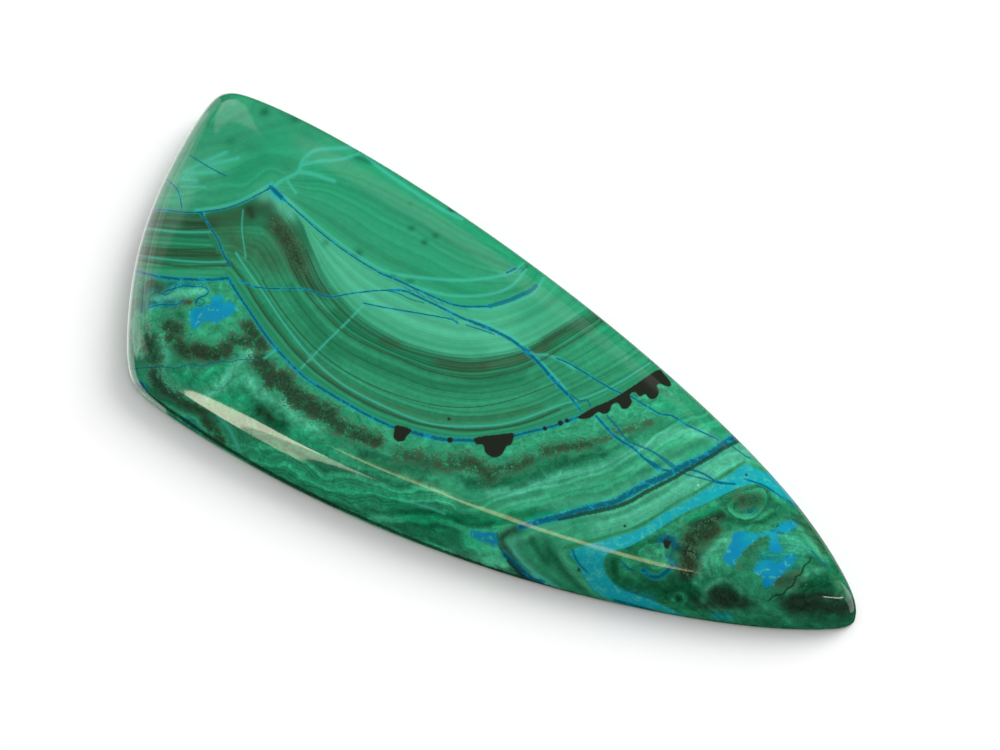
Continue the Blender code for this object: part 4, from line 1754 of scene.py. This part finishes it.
@dataclass(frozen=True)
class PatchEffect:
    """Mask of a patch, by the distance in from its outline in pixels."""

    softness: float = 0.8

    def group(self) -> NodeGroup:
        """Build the group.

        Returns:
            A group that puts out the patch's frayed body.
        """
        group = NodeGroup(
            "Patch mask",
            (Port("Inside"), Port("Fray"), Port("Softness", start=self.softness)),
            (Port("Body"),))
        graph = group.graph
        frayed = graph.math("ADD", group.given("Inside"), group.given("Fray"))
        low = graph.math("MULTIPLY", group.given("Softness"), -1.0)
        group.give("Body", graph.ease(frayed, low, group.given("Softness")))
        return group


@dataclass(frozen=True)
class LayerEffect:
    """Light and dark of the growth layers: coarse and fine noise along the layer number."""

    sway_scale: float = 260.0
    coarse_rate: float = 0.8
    fine_rate: float = 2.4
    coarse_share: float = 0.62
    span: Span = (0.3, 0.7)
    contrast: float = 1.3

    def group(self) -> NodeGroup:
        """Build the group.

        Returns:
            A group that puts out a factor of brightness, two to the power of the layer's level.
        """
        group = NodeGroup(
            "Growth layers",
            (Port("Where", VECTOR), Port("Number"), Port("Strength"), Port("Sway")),
            (Port("Factor"),))
        graph = group.graph
        swaying = graph.noise(group.given("Where"), self.sway_scale, 3.0)
        wander = graph.stretch(swaying, 0.2, 0.8, -1.0, 1.0)
        moved = graph.math("MULTIPLY", wander, group.given("Sway"))
        number = graph.math("ADD", group.given("Number"), moved)
        coarse = graph.noise_along(number, self.coarse_rate, 1.0, 0.5)
        fine = graph.noise_along(number, self.fine_rate, 2.0, 0.6)
        both = graph.weighed(coarse, self.coarse_share, fine, 1.0 - self.coarse_share)
        level = graph.ease(both, *self.span, -1.0, 1.0)
        swing = graph.math("MULTIPLY", level, group.given("Strength"))
        group.give("Factor", graph.math("POWER", 2.0, graph.math("MULTIPLY", swing, self.contrast)))
        return group


@dataclass(frozen=True)
class GrainEffect:
    """Grain of the growth, its scales per metre, and rare pits and dots, each by a cell's chance."""

    fine_scale: float = 6500.0
    coarse_scale: float = 1700.0
    coarse_twist: float = 0.6
    cell_scale: float = 420.0
    pit_chance: Span = (0.955, 0.965)
    pit_edge: Span = (0.025, 0.05)
    dot_chance: Span = (0.02, 0.03)
    dot_edge: Span = (0.06, 0.16)

    def group(self) -> NodeGroup:
        """Build the group.

        Returns:
            A group that puts out the fine and the coarse grain, the pits and the dots.
        """
        group = NodeGroup(
            "Growth grain",
            (Port("Where", VECTOR),),
            (Port("Fine"), Port("Coarse"), Port("Pits"), Port("Dots")))
        graph = group.graph
        where = group.given("Where")
        group.give("Fine", graph.noise(where, self.fine_scale, 2.0, 0.6))
        group.give("Coarse", graph.noise(where, self.coarse_scale, 3.0, 0.6, self.coarse_twist))
        cells = graph.node(
            "ShaderNodeTexVoronoi", {"Vector": where, "Scale": self.cell_scale, "Randomness": 1.0})
        chance = graph.node("ShaderNodeSeparateColor", {0: cells.outputs["Color"]}).outputs[0]
        distance = cells.outputs["Distance"]
        is_pit = graph.ease(chance, *self.pit_chance)
        group.give("Pits", graph.math("MULTIPLY", is_pit, graph.fade(distance, *self.pit_edge)))
        is_dot = graph.fade(chance, *self.dot_chance)
        group.give("Dots", graph.math("MULTIPLY", is_dot, graph.fade(distance, *self.dot_edge)))
        return group


@dataclass(frozen=True)
class PolishEffect:
    """Roughness of the polish and its faint relief, whose heights are shares of the bump's depth."""

    smear_scale: float = 350.0
    roughness: Span = (0.045, 0.085)
    blue_softening: float = 0.05
    wave_scale: float = 140.0
    wave_height: float = 0.5
    hair_scale: float = 5200.0
    hair_height: float = 0.04
    pit_depth: float = 0.6

    def group(self) -> NodeGroup:
        """Build the group.

        Returns:
            A group that puts out the roughness and the height.
        """
        group = NodeGroup(
            "Polish",
            (Port("Where", VECTOR), Port("Pits"), Port("Blue")),
            (Port("Roughness"), Port("Height")))
        graph = group.graph
        where = group.given("Where")
        smear = graph.stretch(graph.noise(where, self.smear_scale, 2.0), 0.3, 0.7, *self.roughness)
        softer = graph.math("MULTIPLY", group.given("Blue"), self.blue_softening)
        group.give("Roughness", graph.math("ADD", smear, softer))
        waves = graph.noise(where, self.wave_scale, 1.0)
        hair = graph.noise(where, self.hair_scale, 2.0)
        raised = graph.weighed(waves, self.wave_height, hair, self.hair_height)
        lowered = graph.math("MULTIPLY", group.given("Pits"), self.pit_depth)
        group.give("Height", graph.math("SUBTRACT", raised, lowered))
        return group


@dataclass(frozen=True)
class GroundLook:
    """How the ground tone takes its grain."""

    fine_span: Span = (0.25, 0.75)
    coarse_span: Span = (0.28, 0.72)
    fine_share: float = 0.45
    coarse_share: float = 0.75
    dot_cover: float = 0.5


@dataclass(frozen=True)
class MossLook:
    """The dark moss; a span holds the levels that a shade comes in between."""

    fine_share: float = 0.5
    coarse_share: float = 0.4
    edge: Span = (0.36, 0.66)
    start: Span = (0.05, 0.30)
    soot: Span = (0.40, 0.62)
    brown: Span = (0.53, 0.66)
    brown_cover: float = 0.75
    deep: Span = (0.55, 0.95)
    deep_grain: Span = (0.36, 0.54)
    deep_cover: float = 0.6
    pale: Span = (0.35, 0.80)
    cover: float = 0.93

    def laid_over(
            self, graph: Graph, colour: Socket, grain: Sockets, fine: Socket, coarse: Socket) -> Socket:
        """Lay the moss over a colour.

        Args:
            graph: The material's nodes.
            colour: The colour under it.
            grain: The outputs of the growth grain.
            fine: The fine grain from -1 to 1.
            coarse: The coarse grain from -1 to 1.

        Returns:
            The colour with the moss on it.
        """
        moss = graph.attribute("moss", "Fac")
        frayed = graph.math("ADD", moss, graph.weighed(fine, self.fine_share, coarse, self.coarse_share))
        shown = graph.math("MULTIPLY", graph.ease(frayed, *self.edge), graph.ease(moss, *self.start))
        dark = graph.mix(graph.ease(grain["Fine"], *self.soot), Shade.SOOT_OLIVE.paint, Shade.OLIVE.paint)
        brown = graph.ease(grain["Coarse"], *self.brown, 0.0, self.brown_cover)
        dark = graph.mix(brown, dark, Shade.BROWN.paint)
        thickest = graph.ease(moss, *self.deep)
        deep = graph.math("MULTIPLY", thickest, graph.ease(grain["Coarse"], *self.deep_grain))
        dark = graph.lay(dark, Shade.NEAR_BLACK.paint, deep, self.deep_cover)
        dark = graph.mix(graph.ease(moss, *self.pale), Shade.PALE_OLIVE.paint, dark)
        return graph.lay(colour, dark, shown, self.cover)


@dataclass(frozen=True)
class BlueLook:
    """Shades of the blue growths; a span holds the levels that a shade comes in between."""

    sea_pale: Span = (0.45, 0.75)
    sea_blue: Span = (0.42, 0.66)
    sea_blue_cover: float = 0.45
    vein_bright: Span = (0.52, 0.66)
    cloud_scale: float = 380.0
    pool_turquoise: Span = (0.46, 0.74)
    pool_turquoise_cover: float = 0.8
    pool_mint: Span = (0.56, 0.70)
    pool_mint_cover: float = 0.7
    pool_clear: Span = (0.30, 0.48)
    pool_cover: Span = (0.8, 0.95)
    pool_softness: float = 1.5

    def sea(self, graph: Graph, grain: Sockets) -> Socket:
        """Turquoise that pales with the coarse grain and is flecked blue by the fine one.

        Args:
            graph: The material's nodes.
            grain: The outputs of the growth grain.

        Returns:
            The colour.
        """
        pale = graph.ease(grain["Coarse"], *self.sea_pale)
        water = graph.mix(pale, Shade.TURQUOISE.paint, Shade.PALE_TURQUOISE.paint)
        flecks = graph.ease(grain["Fine"], *self.sea_blue, 0.0, self.sea_blue_cover)
        return graph.mix(flecks, water, Shade.BRIGHT_BLUE.paint)

    def vein(self, graph: Graph, grain: Sockets, core: Socket) -> Socket:
        """Vein blue with a deeper core, brighter in places."""
        shade = graph.mix(core, Shade.VEIN_BLUE.paint, Shade.DEEP_BLUE.paint)
        return graph.mix(graph.ease(grain["Coarse"], *self.vein_bright), shade, Shade.BRIGHT_BLUE.paint)

    def pool(self, graph: Graph, grain: Sockets, clouds: Socket) -> Socket:
        """Bright blue, clouded with turquoise and flecked with mint.

        Args:
            graph: The material's nodes.
            grain: The outputs of the growth grain.
            clouds: The noise that clouds it.

        Returns:
            The colour.
        """
        turquoise = graph.ease(clouds, *self.pool_turquoise, 0.0, self.pool_turquoise_cover)
        shade = graph.mix(turquoise, Shade.BRIGHT_BLUE.paint, Shade.TURQUOISE.paint)
        mint = graph.ease(grain["Coarse"], *self.pool_mint, 0.0, self.pool_mint_cover)
        return graph.mix(mint, shade, Shade.MINT.paint)


@dataclass(frozen=True)
class Covers:
    """How fully each drawn growth hides what lies under it, from 0 to 1."""

    pale_glow: float = 0.16
    pale_line: float = 0.40
    dark_line: float = 0.70
    sea: float = 0.92
    vein_glow: float = 0.30
    twig: float = 0.75
    vein: float = 0.85
    black_line: float = 0.85


@dataclass(frozen=True)
class StoneFinish:
    """The polished stone's material.

    Attributes:
        refraction: Index of refraction of the stone.
        bump_strength: Strength of the polish's faint relief.
        bump_distance: Depth of that relief, in metres.
        line_fray: How far the fine grain frays a line, in half widths.
        patch_fray: How far the coarse and the fine grain fray a pool, in pixels.
        ground: How the ground takes its grain.
        moss: The dark moss.
        blue: The blue growths.
        covers: Cover of each drawn growth.
    """

    refraction: float = 1.60
    bump_strength: float = 0.25
    bump_distance: float = 0.00003
    line_fray: float = 0.45
    patch_fray: Span = (2.4, 1.8)
    ground: GroundLook = GroundLook()
    moss: MossLook = MossLook()
    blue: BlueLook = BlueLook()
    covers: Covers = Covers()

    def material(self) -> bpy.types.Material:
        """Build the material from the surface's fields.

        Returns:
            The material.
        """
        made = bpy.data.materials.new("polished chrysocolla and malachite")
        made.use_nodes = True
        made.node_tree.nodes.clear()
        graph = Graph(made.node_tree)
        where = graph.node("ShaderNodeTexCoord").outputs["Object"]
        grain = GrainEffect().group().placed(graph, {"Where": where})
        colour = self.growth_colour(graph, where, grain)
        colour, blue = self.vein_colour(graph, colour, where, grain)
        colour = graph.mix(grain["Pits"], colour, Shade.WHITE_PIT.paint)
        polish = PolishEffect().group().placed(
            graph, {"Where": where, "Pits": grain["Pits"], "Blue": blue})
        bump = graph.node("ShaderNodeBump", {
            "Height": polish["Height"], "Strength": self.bump_strength, "Distance": self.bump_distance})
        skin = graph.node("ShaderNodeBsdfPrincipled", {
            "Base Color": colour, "Roughness": polish["Roughness"], "IOR": self.refraction,
            "Normal": bump.outputs["Normal"]})
        graph.node("ShaderNodeOutputMaterial", {"Surface": skin.outputs["BSDF"]})
        return made

    def growth_colour(self, graph: Graph, where: Socket, grain: Sockets) -> Socket:
        """Ground tone with its layers, grain, moss and dots.

        Args:
            graph: The material's nodes.
            where: The place in the stone.
            grain: The outputs of the growth grain.

        Returns:
            The colour.
        """
        look = self.ground
        layers = graph.node("ShaderNodeSeparateXYZ", {0: graph.attribute("layers", "Vector")}).outputs
        layer = LayerEffect().group().placed(graph, {
            "Where": where, "Number": layers["X"], "Strength": layers["Y"], "Sway": layers["Z"]})
        fine = graph.stretch(grain["Fine"], *look.fine_span, -1.0, 1.0)
        coarse = graph.stretch(grain["Coarse"], *look.coarse_span, -1.0, 1.0)
        both = graph.weighed(fine, look.fine_share, coarse, look.coarse_share)
        mottle = graph.math("POWER", 2.0, graph.math("MULTIPLY", both, graph.attribute("grain", "Fac")))
        factor = graph.math("MULTIPLY", layer["Factor"], mottle)
        colour = graph.brighten(graph.attribute("ground", "Color"), factor)
        colour = self.moss.laid_over(graph, colour, grain, fine, coarse)
        return graph.lay(colour, Shade.DEEP_GREEN.paint, grain["Dots"], look.dot_cover)

    def vein_colour(
            self, graph: Graph, colour: Socket, where: Socket, grain: Sockets) -> tuple[Socket, Socket]:
        """Lay the pale and dark lines, the sea, the blue growths, the sooty lines and the drops over it.

        Args:
            graph: The material's nodes.
            colour: The colour under them.
            where: The place in the stone.
            grain: The outputs of the growth grain.

        Returns:
            The colour, and where it is blue.
        """
        fray = graph.stretch(grain["Fine"], 0.2, 0.8, -self.line_fray, self.line_fray)
        coarse_fray, fine_fray = self.patch_fray
        pool_fray = graph.math(
            "ADD",
            graph.stretch(grain["Coarse"], 0.25, 0.75, -coarse_fray, coarse_fray),
            graph.stretch(grain["Fine"], 0.2, 0.8, -fine_fray, fine_fray))
        stroke_mask = LineEffect().group()
        black, dark, pale, vein, twig = [
            stroke_mask.placed(graph, {"Offset": graph.attribute(name, "Vector"), "Fray": fray})
            for name in ("black_lines", "dark_lines", "pale_lines", "blue_veins", "blue_twigs")]
        patch_mask = PatchEffect().group()
        sea = patch_mask.placed(graph, {"Inside": graph.attribute("sea", "Fac"), "Fray": fray})
        pool = patch_mask.placed(graph, {
            "Inside": graph.attribute("blue", "Fac"), "Fray": pool_fray,
            "Softness": self.blue.pool_softness})
        drop = patch_mask.placed(graph, {"Inside": graph.attribute("black", "Fac"), "Fray": fray})
        covers = self.covers
        colour = graph.lay(colour, Shade.PALE_TURQUOISE.paint, pale["Glow"], covers.pale_glow)
        colour = graph.lay(colour, Shade.PALE_TURQUOISE.paint, pale["Body"], covers.pale_line)
        colour = graph.lay(colour, Shade.DARK_OLIVE.paint, dark["Body"], covers.dark_line)
        colour = graph.lay(colour, self.blue.sea(graph, grain), sea["Body"], covers.sea)
        colour = graph.lay(colour, Shade.TURQUOISE.paint, vein["Glow"], covers.vein_glow)
        colour = graph.lay(colour, Shade.VEIN_BLUE.paint, twig["Body"], covers.twig)
        colour = graph.lay(colour, self.blue.vein(graph, grain, vein["Core"]), vein["Body"], covers.vein)
        clouds = graph.noise(where, self.blue.cloud_scale, 2.0)
        pool_cover = graph.ease(clouds, *self.blue.pool_clear, *self.blue.pool_cover)
        colour = graph.lay(colour, self.blue.pool(graph, grain, clouds), pool["Body"], pool_cover)
        # black lines: the stone's cracks and stripes, and the painted shade along the near foot
        colour = graph.lay(colour, Shade.SOOT_OLIVE.paint, black["Body"], covers.black_line)
        colour = graph.mix(drop["Body"], colour, Shade.NEAR_BLACK.paint)
        return colour, graph.math("MAXIMUM", pool["Body"], sea["Body"])


@dataclass
class Cabochon:
    """The stone: its form, its pattern and its finish.

    Attributes:
        form: The form of its surface.
        pattern: The fields of its growth.
        finish: Its material.
        sharp_angle: Angle between faces above which an edge shades sharp, in degrees.
    """

    form: StoneForm
    pattern: GrowthPattern
    finish: StoneFinish = field(default_factory=StoneFinish)
    sharp_angle: float = 35.0

    def build(self) -> bpy.types.Object:
        """Make the object, store its fields and give it its material.

        Returns:
            The stone.
        """
        vertices, faces = self.form.vertices_and_faces()
        mesh = bpy.data.meshes.new(NODE_NAME)
        mesh.from_pydata(vertices.tolist(), [], faces)
        mesh.shade_smooth()
        mesh.set_sharp_from_angle(angle=math.radians(self.sharp_angle))
        mesh.materials.append(self.finish.material())
        self.store_fields(mesh, vertices)
        stone = bpy.data.objects.new(NODE_NAME, mesh)
        bpy.context.scene.collection.objects.link(stone)
        LOG.info("stone of %d vertices and %d faces", len(vertices), len(faces))
        return stone

    def store_fields(self, mesh: bpy.types.Mesh, vertices: np.ndarray) -> None:
        """Work out the growth fields over the surface and store them as attributes.

        Args:
            mesh: The stone's mesh.
            vertices: Its vertices, in metres.
        """
        normals = np.empty(len(vertices) * 3, dtype=np.float32)
        mesh.vertex_normals.foreach_get("vector", normals)
        pattern = self.pattern
        places = pattern.places(vertices, normals.reshape(-1, 3))
        store_field(mesh, "ground", "FLOAT_VECTOR", pattern.ground(places))
        store_field(mesh, "layers", "FLOAT_VECTOR", pattern.layers(places))
        for name, strokes in LINE_FIELDS.items():
            store_field(mesh, name, "FLOAT_VECTOR", pattern.lines(places, strokes))
        for name, outlines in PATCH_FIELDS.items():
            store_field(mesh, name, "FLOAT", pattern.patches(places, outlines))
        store_field(mesh, "moss", "FLOAT", pattern.moss(places))
        store_field(mesh, "grain", "FLOAT", pattern.grain(places))


def store_field(mesh: bpy.types.Mesh, name: str, kind: str, values: np.ndarray) -> None:
    """Store one value or vector for each vertex.

    Args:
        mesh: The mesh.
        name: The attribute's name.
        kind: Its type.
        values: The values, one row to a vertex.
    """
    layer = mesh.attributes.new(name, kind, "POINT")
    key = {"FLOAT": "value", "FLOAT_VECTOR": "vector"}[kind]
    layer.data.foreach_set(key, np.ascontiguousarray(values, dtype=np.float32).ravel())


@dataclass(frozen=True)
class Softbox:
    """A rectangular light, aimed at the stone.

    Attributes:
        name: Its name.
        azimuth: Direction to it in plan, in degrees from +X.
        elevation: Its angle above the table, in degrees.
        width: Its width as seen from the stone, in degrees.
        height: Its height as seen from the stone, in degrees.
        radiance: Its brightness, where a lit white table is about 1.
        warmth: Its colour.
        roll: Its turn about the line to the stone, in degrees.
        is_mirrored: Whether the polish mirrors it.
        is_lighting: Whether it lights the matter under the polish.
        reach: Its distance, in metres.
    """

    name: str
    azimuth: float
    elevation: float
    width: float
    height: float
    radiance: float
    warmth: tuple[float, float, float] = (1.0, 1.0, 1.0)
    roll: float = 0.0
    is_mirrored: bool = True
    is_lighting: bool = True
    reach: float = 0.9

    def build(self) -> None:
        """Make the light and aim it at the origin."""
        lamp = bpy.data.lights.new(self.name, "AREA")
        lamp.shape = "RECTANGLE"
        lamp.size = 2.0 * self.reach * math.tan(math.radians(self.width) / 2.0)
        lamp.size_y = 2.0 * self.reach * math.tan(math.radians(self.height) / 2.0)
        lamp.energy = self.radiance * math.pi * lamp.size * lamp.size_y
        lamp.color = self.warmth
        light = bpy.data.objects.new(self.name, lamp)
        turn = math.radians(self.azimuth)
        lift = math.radians(self.elevation)
        level = self.reach * math.cos(lift)
        light.location = (level * math.cos(turn), level * math.sin(turn), self.reach * math.sin(lift))
        aim = Euler((math.pi / 2.0 - lift, 0.0, turn + math.pi / 2.0)).to_matrix()
        light.rotation_euler = (aim @ Matrix.Rotation(math.radians(self.roll), 3, "Z")).to_euler()
        light.visible_glossy = self.is_mirrored
        light.visible_diffuse = self.is_lighting
        light.visible_camera = False
        bpy.context.scene.collection.objects.link(light)


@dataclass
class Studio:
    """A pale table, soft light and the camera.

    Attributes:
        sight: The camera's geometry.
        table_size: Side of the table, in metres.
        table_grey: Its reflectance.
        table_roughness: Its roughness.
        table_specular: Level of its mirroring.
        sky: Brightness of the room.
        near_clip: Distance from the camera at which its view starts, in metres.
    """

    sight: Sight
    table_size: float = 1.6
    table_grey: float = 0.94
    table_roughness: float = 0.9
    table_specular: float = 0.1
    sky: float = 0.42
    near_clip: float = 0.01

    def lights(self) -> tuple[Softbox, ...]:
        """Lights that only the matter sees, and strips that only the polish mirrors.

        Returns:
            The lights.
        """
        daylight = (1.0, 0.88, 0.70)
        lamplight = (1.0, 0.84, 0.44)
        return (
            Softbox("overhead fill", 70, 76, 62, 62, 1.05, is_mirrored=False),
            Softbox("key from the far side", 66, 46, 30, 30, 6.5, is_mirrored=False),
            Softbox("tall window", -112.6, 15.7, 6.4, 49, 8.0, daylight, -2.0, is_lighting=False),
            Softbox("dim window", -106.6, 15.7, 5.4, 49, 3.6, daylight, -2.0, is_lighting=False),
            Softbox("overhead strip", -87.1, 66.8, 47.5, 3.6, 4.0, lamplight, -64.2, is_lighting=False),
            Softbox("strip end", -167.8, 76.7, 2.0, 4.8, 4.0, lamplight, 5.4, is_lighting=False),
            Softbox("corner haze", 134, 28, 22, 25, 1.0, is_lighting=False),
            Softbox("corner haze, core", 138, 26, 20, 20, 0.7, is_lighting=False),
            Softbox("near left card", -158, 4, 28, 32, 0.6, is_lighting=False),
            Softbox("far haze", 105, 38, 16, 5, 0.45, is_lighting=False),
            Softbox("left haze", 171, 27, 30, 38, 0.65, is_lighting=False),
            Softbox("left haze, inner", 169, 19, 20, 30, 0.6, is_lighting=False),
            Softbox("left card", 178, -13, 46, 30, 0.6, is_lighting=False),
            Softbox("left card, wide", 174, -8, 60, 46, 0.6, is_lighting=False),
            Softbox("rim card", 162, -50, 60, 42, 0.9, is_lighting=False),
            Softbox("far card", 121, -50, 60, 30, 0.25, is_lighting=False),
            Softbox("tip strip", -24, 6, 44, 2.5, 9.0, is_lighting=False),
            Softbox("tip card", 30, -20, 60, 40, 1.2, is_lighting=False),
        )

    def build(self) -> bpy.types.Object:
        """Make the lights, the room's light, the camera and the table.

        Returns:
            The table.
        """
        lights = self.lights()
        for light in lights:
            light.build()
        LOG.info("studio of %d lights", len(lights))
        self.room()
        self.camera()
        return self.table()

    def table(self) -> bpy.types.Object:
        """A plain pale table with its top at the stone's foot.

        Returns:
            The table.
        """
        half = self.table_size / 2.0
        mesh = bpy.data.meshes.new("table")
        corners = [(-half, -half, 0.0), (half, -half, 0.0), (half, half, 0.0), (-half, half, 0.0)]
        mesh.from_pydata(corners, [], [(0, 1, 2, 3)])
        material = bpy.data.materials.new("pale table")
        material.use_nodes = True
        skin = material.node_tree.nodes["Principled BSDF"]
        skin.inputs["Base Color"].default_value = (self.table_grey,) * 3 + (1.0,)
        skin.inputs["Roughness"].default_value = self.table_roughness
        skin.inputs["Specular IOR Level"].default_value = self.table_specular
        mesh.materials.append(material)
        made = bpy.data.objects.new("table", mesh)
        made.visible_glossy = False
        bpy.context.scene.collection.objects.link(made)
        return made

    def room(self) -> None:
        """An even grey room, left out of the polish so that only the strips show there."""
        world = bpy.data.worlds.new("room")
        world.use_nodes = True
        backdrop = world.node_tree.nodes["Background"]
        backdrop.inputs["Color"].default_value = (1.0, 1.0, 1.0, 1.0)
        backdrop.inputs["Strength"].default_value = self.sky
        bpy.context.scene.world = world
        world.cycles_visibility.glossy = False

    def camera(self) -> None:
        """The camera, set from the same geometry as the drawing."""
        lens = bpy.data.cameras.new("view")
        lens.lens = self.sight.lens
        lens.sensor_width = self.sight.sensor
        lens.clip_start = self.near_clip
        made = bpy.data.objects.new("view", lens)
        made.location = tuple(self.sight.position)
        lift = math.radians(90.0 - self.sight.elevation)
        made.rotation_euler = (lift, 0.0, math.radians(self.sight.azimuth))
        bpy.context.scene.collection.objects.link(made)
        bpy.context.scene.camera = made


def main() -> None:
    """Build the stone and its studio in the shared frame."""
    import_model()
    sight = Sight()
    stone = Cabochon(StoneForm(), GrowthPattern(sight)).build()
    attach(stone, "root")
    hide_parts(NODE_NAME)
    Studio(sight).build()
    bpy.context.scene.view_settings.view_transform = "Standard"


if __name__ == "__main__":
    logging.basicConfig(level=logging.INFO)
    main()
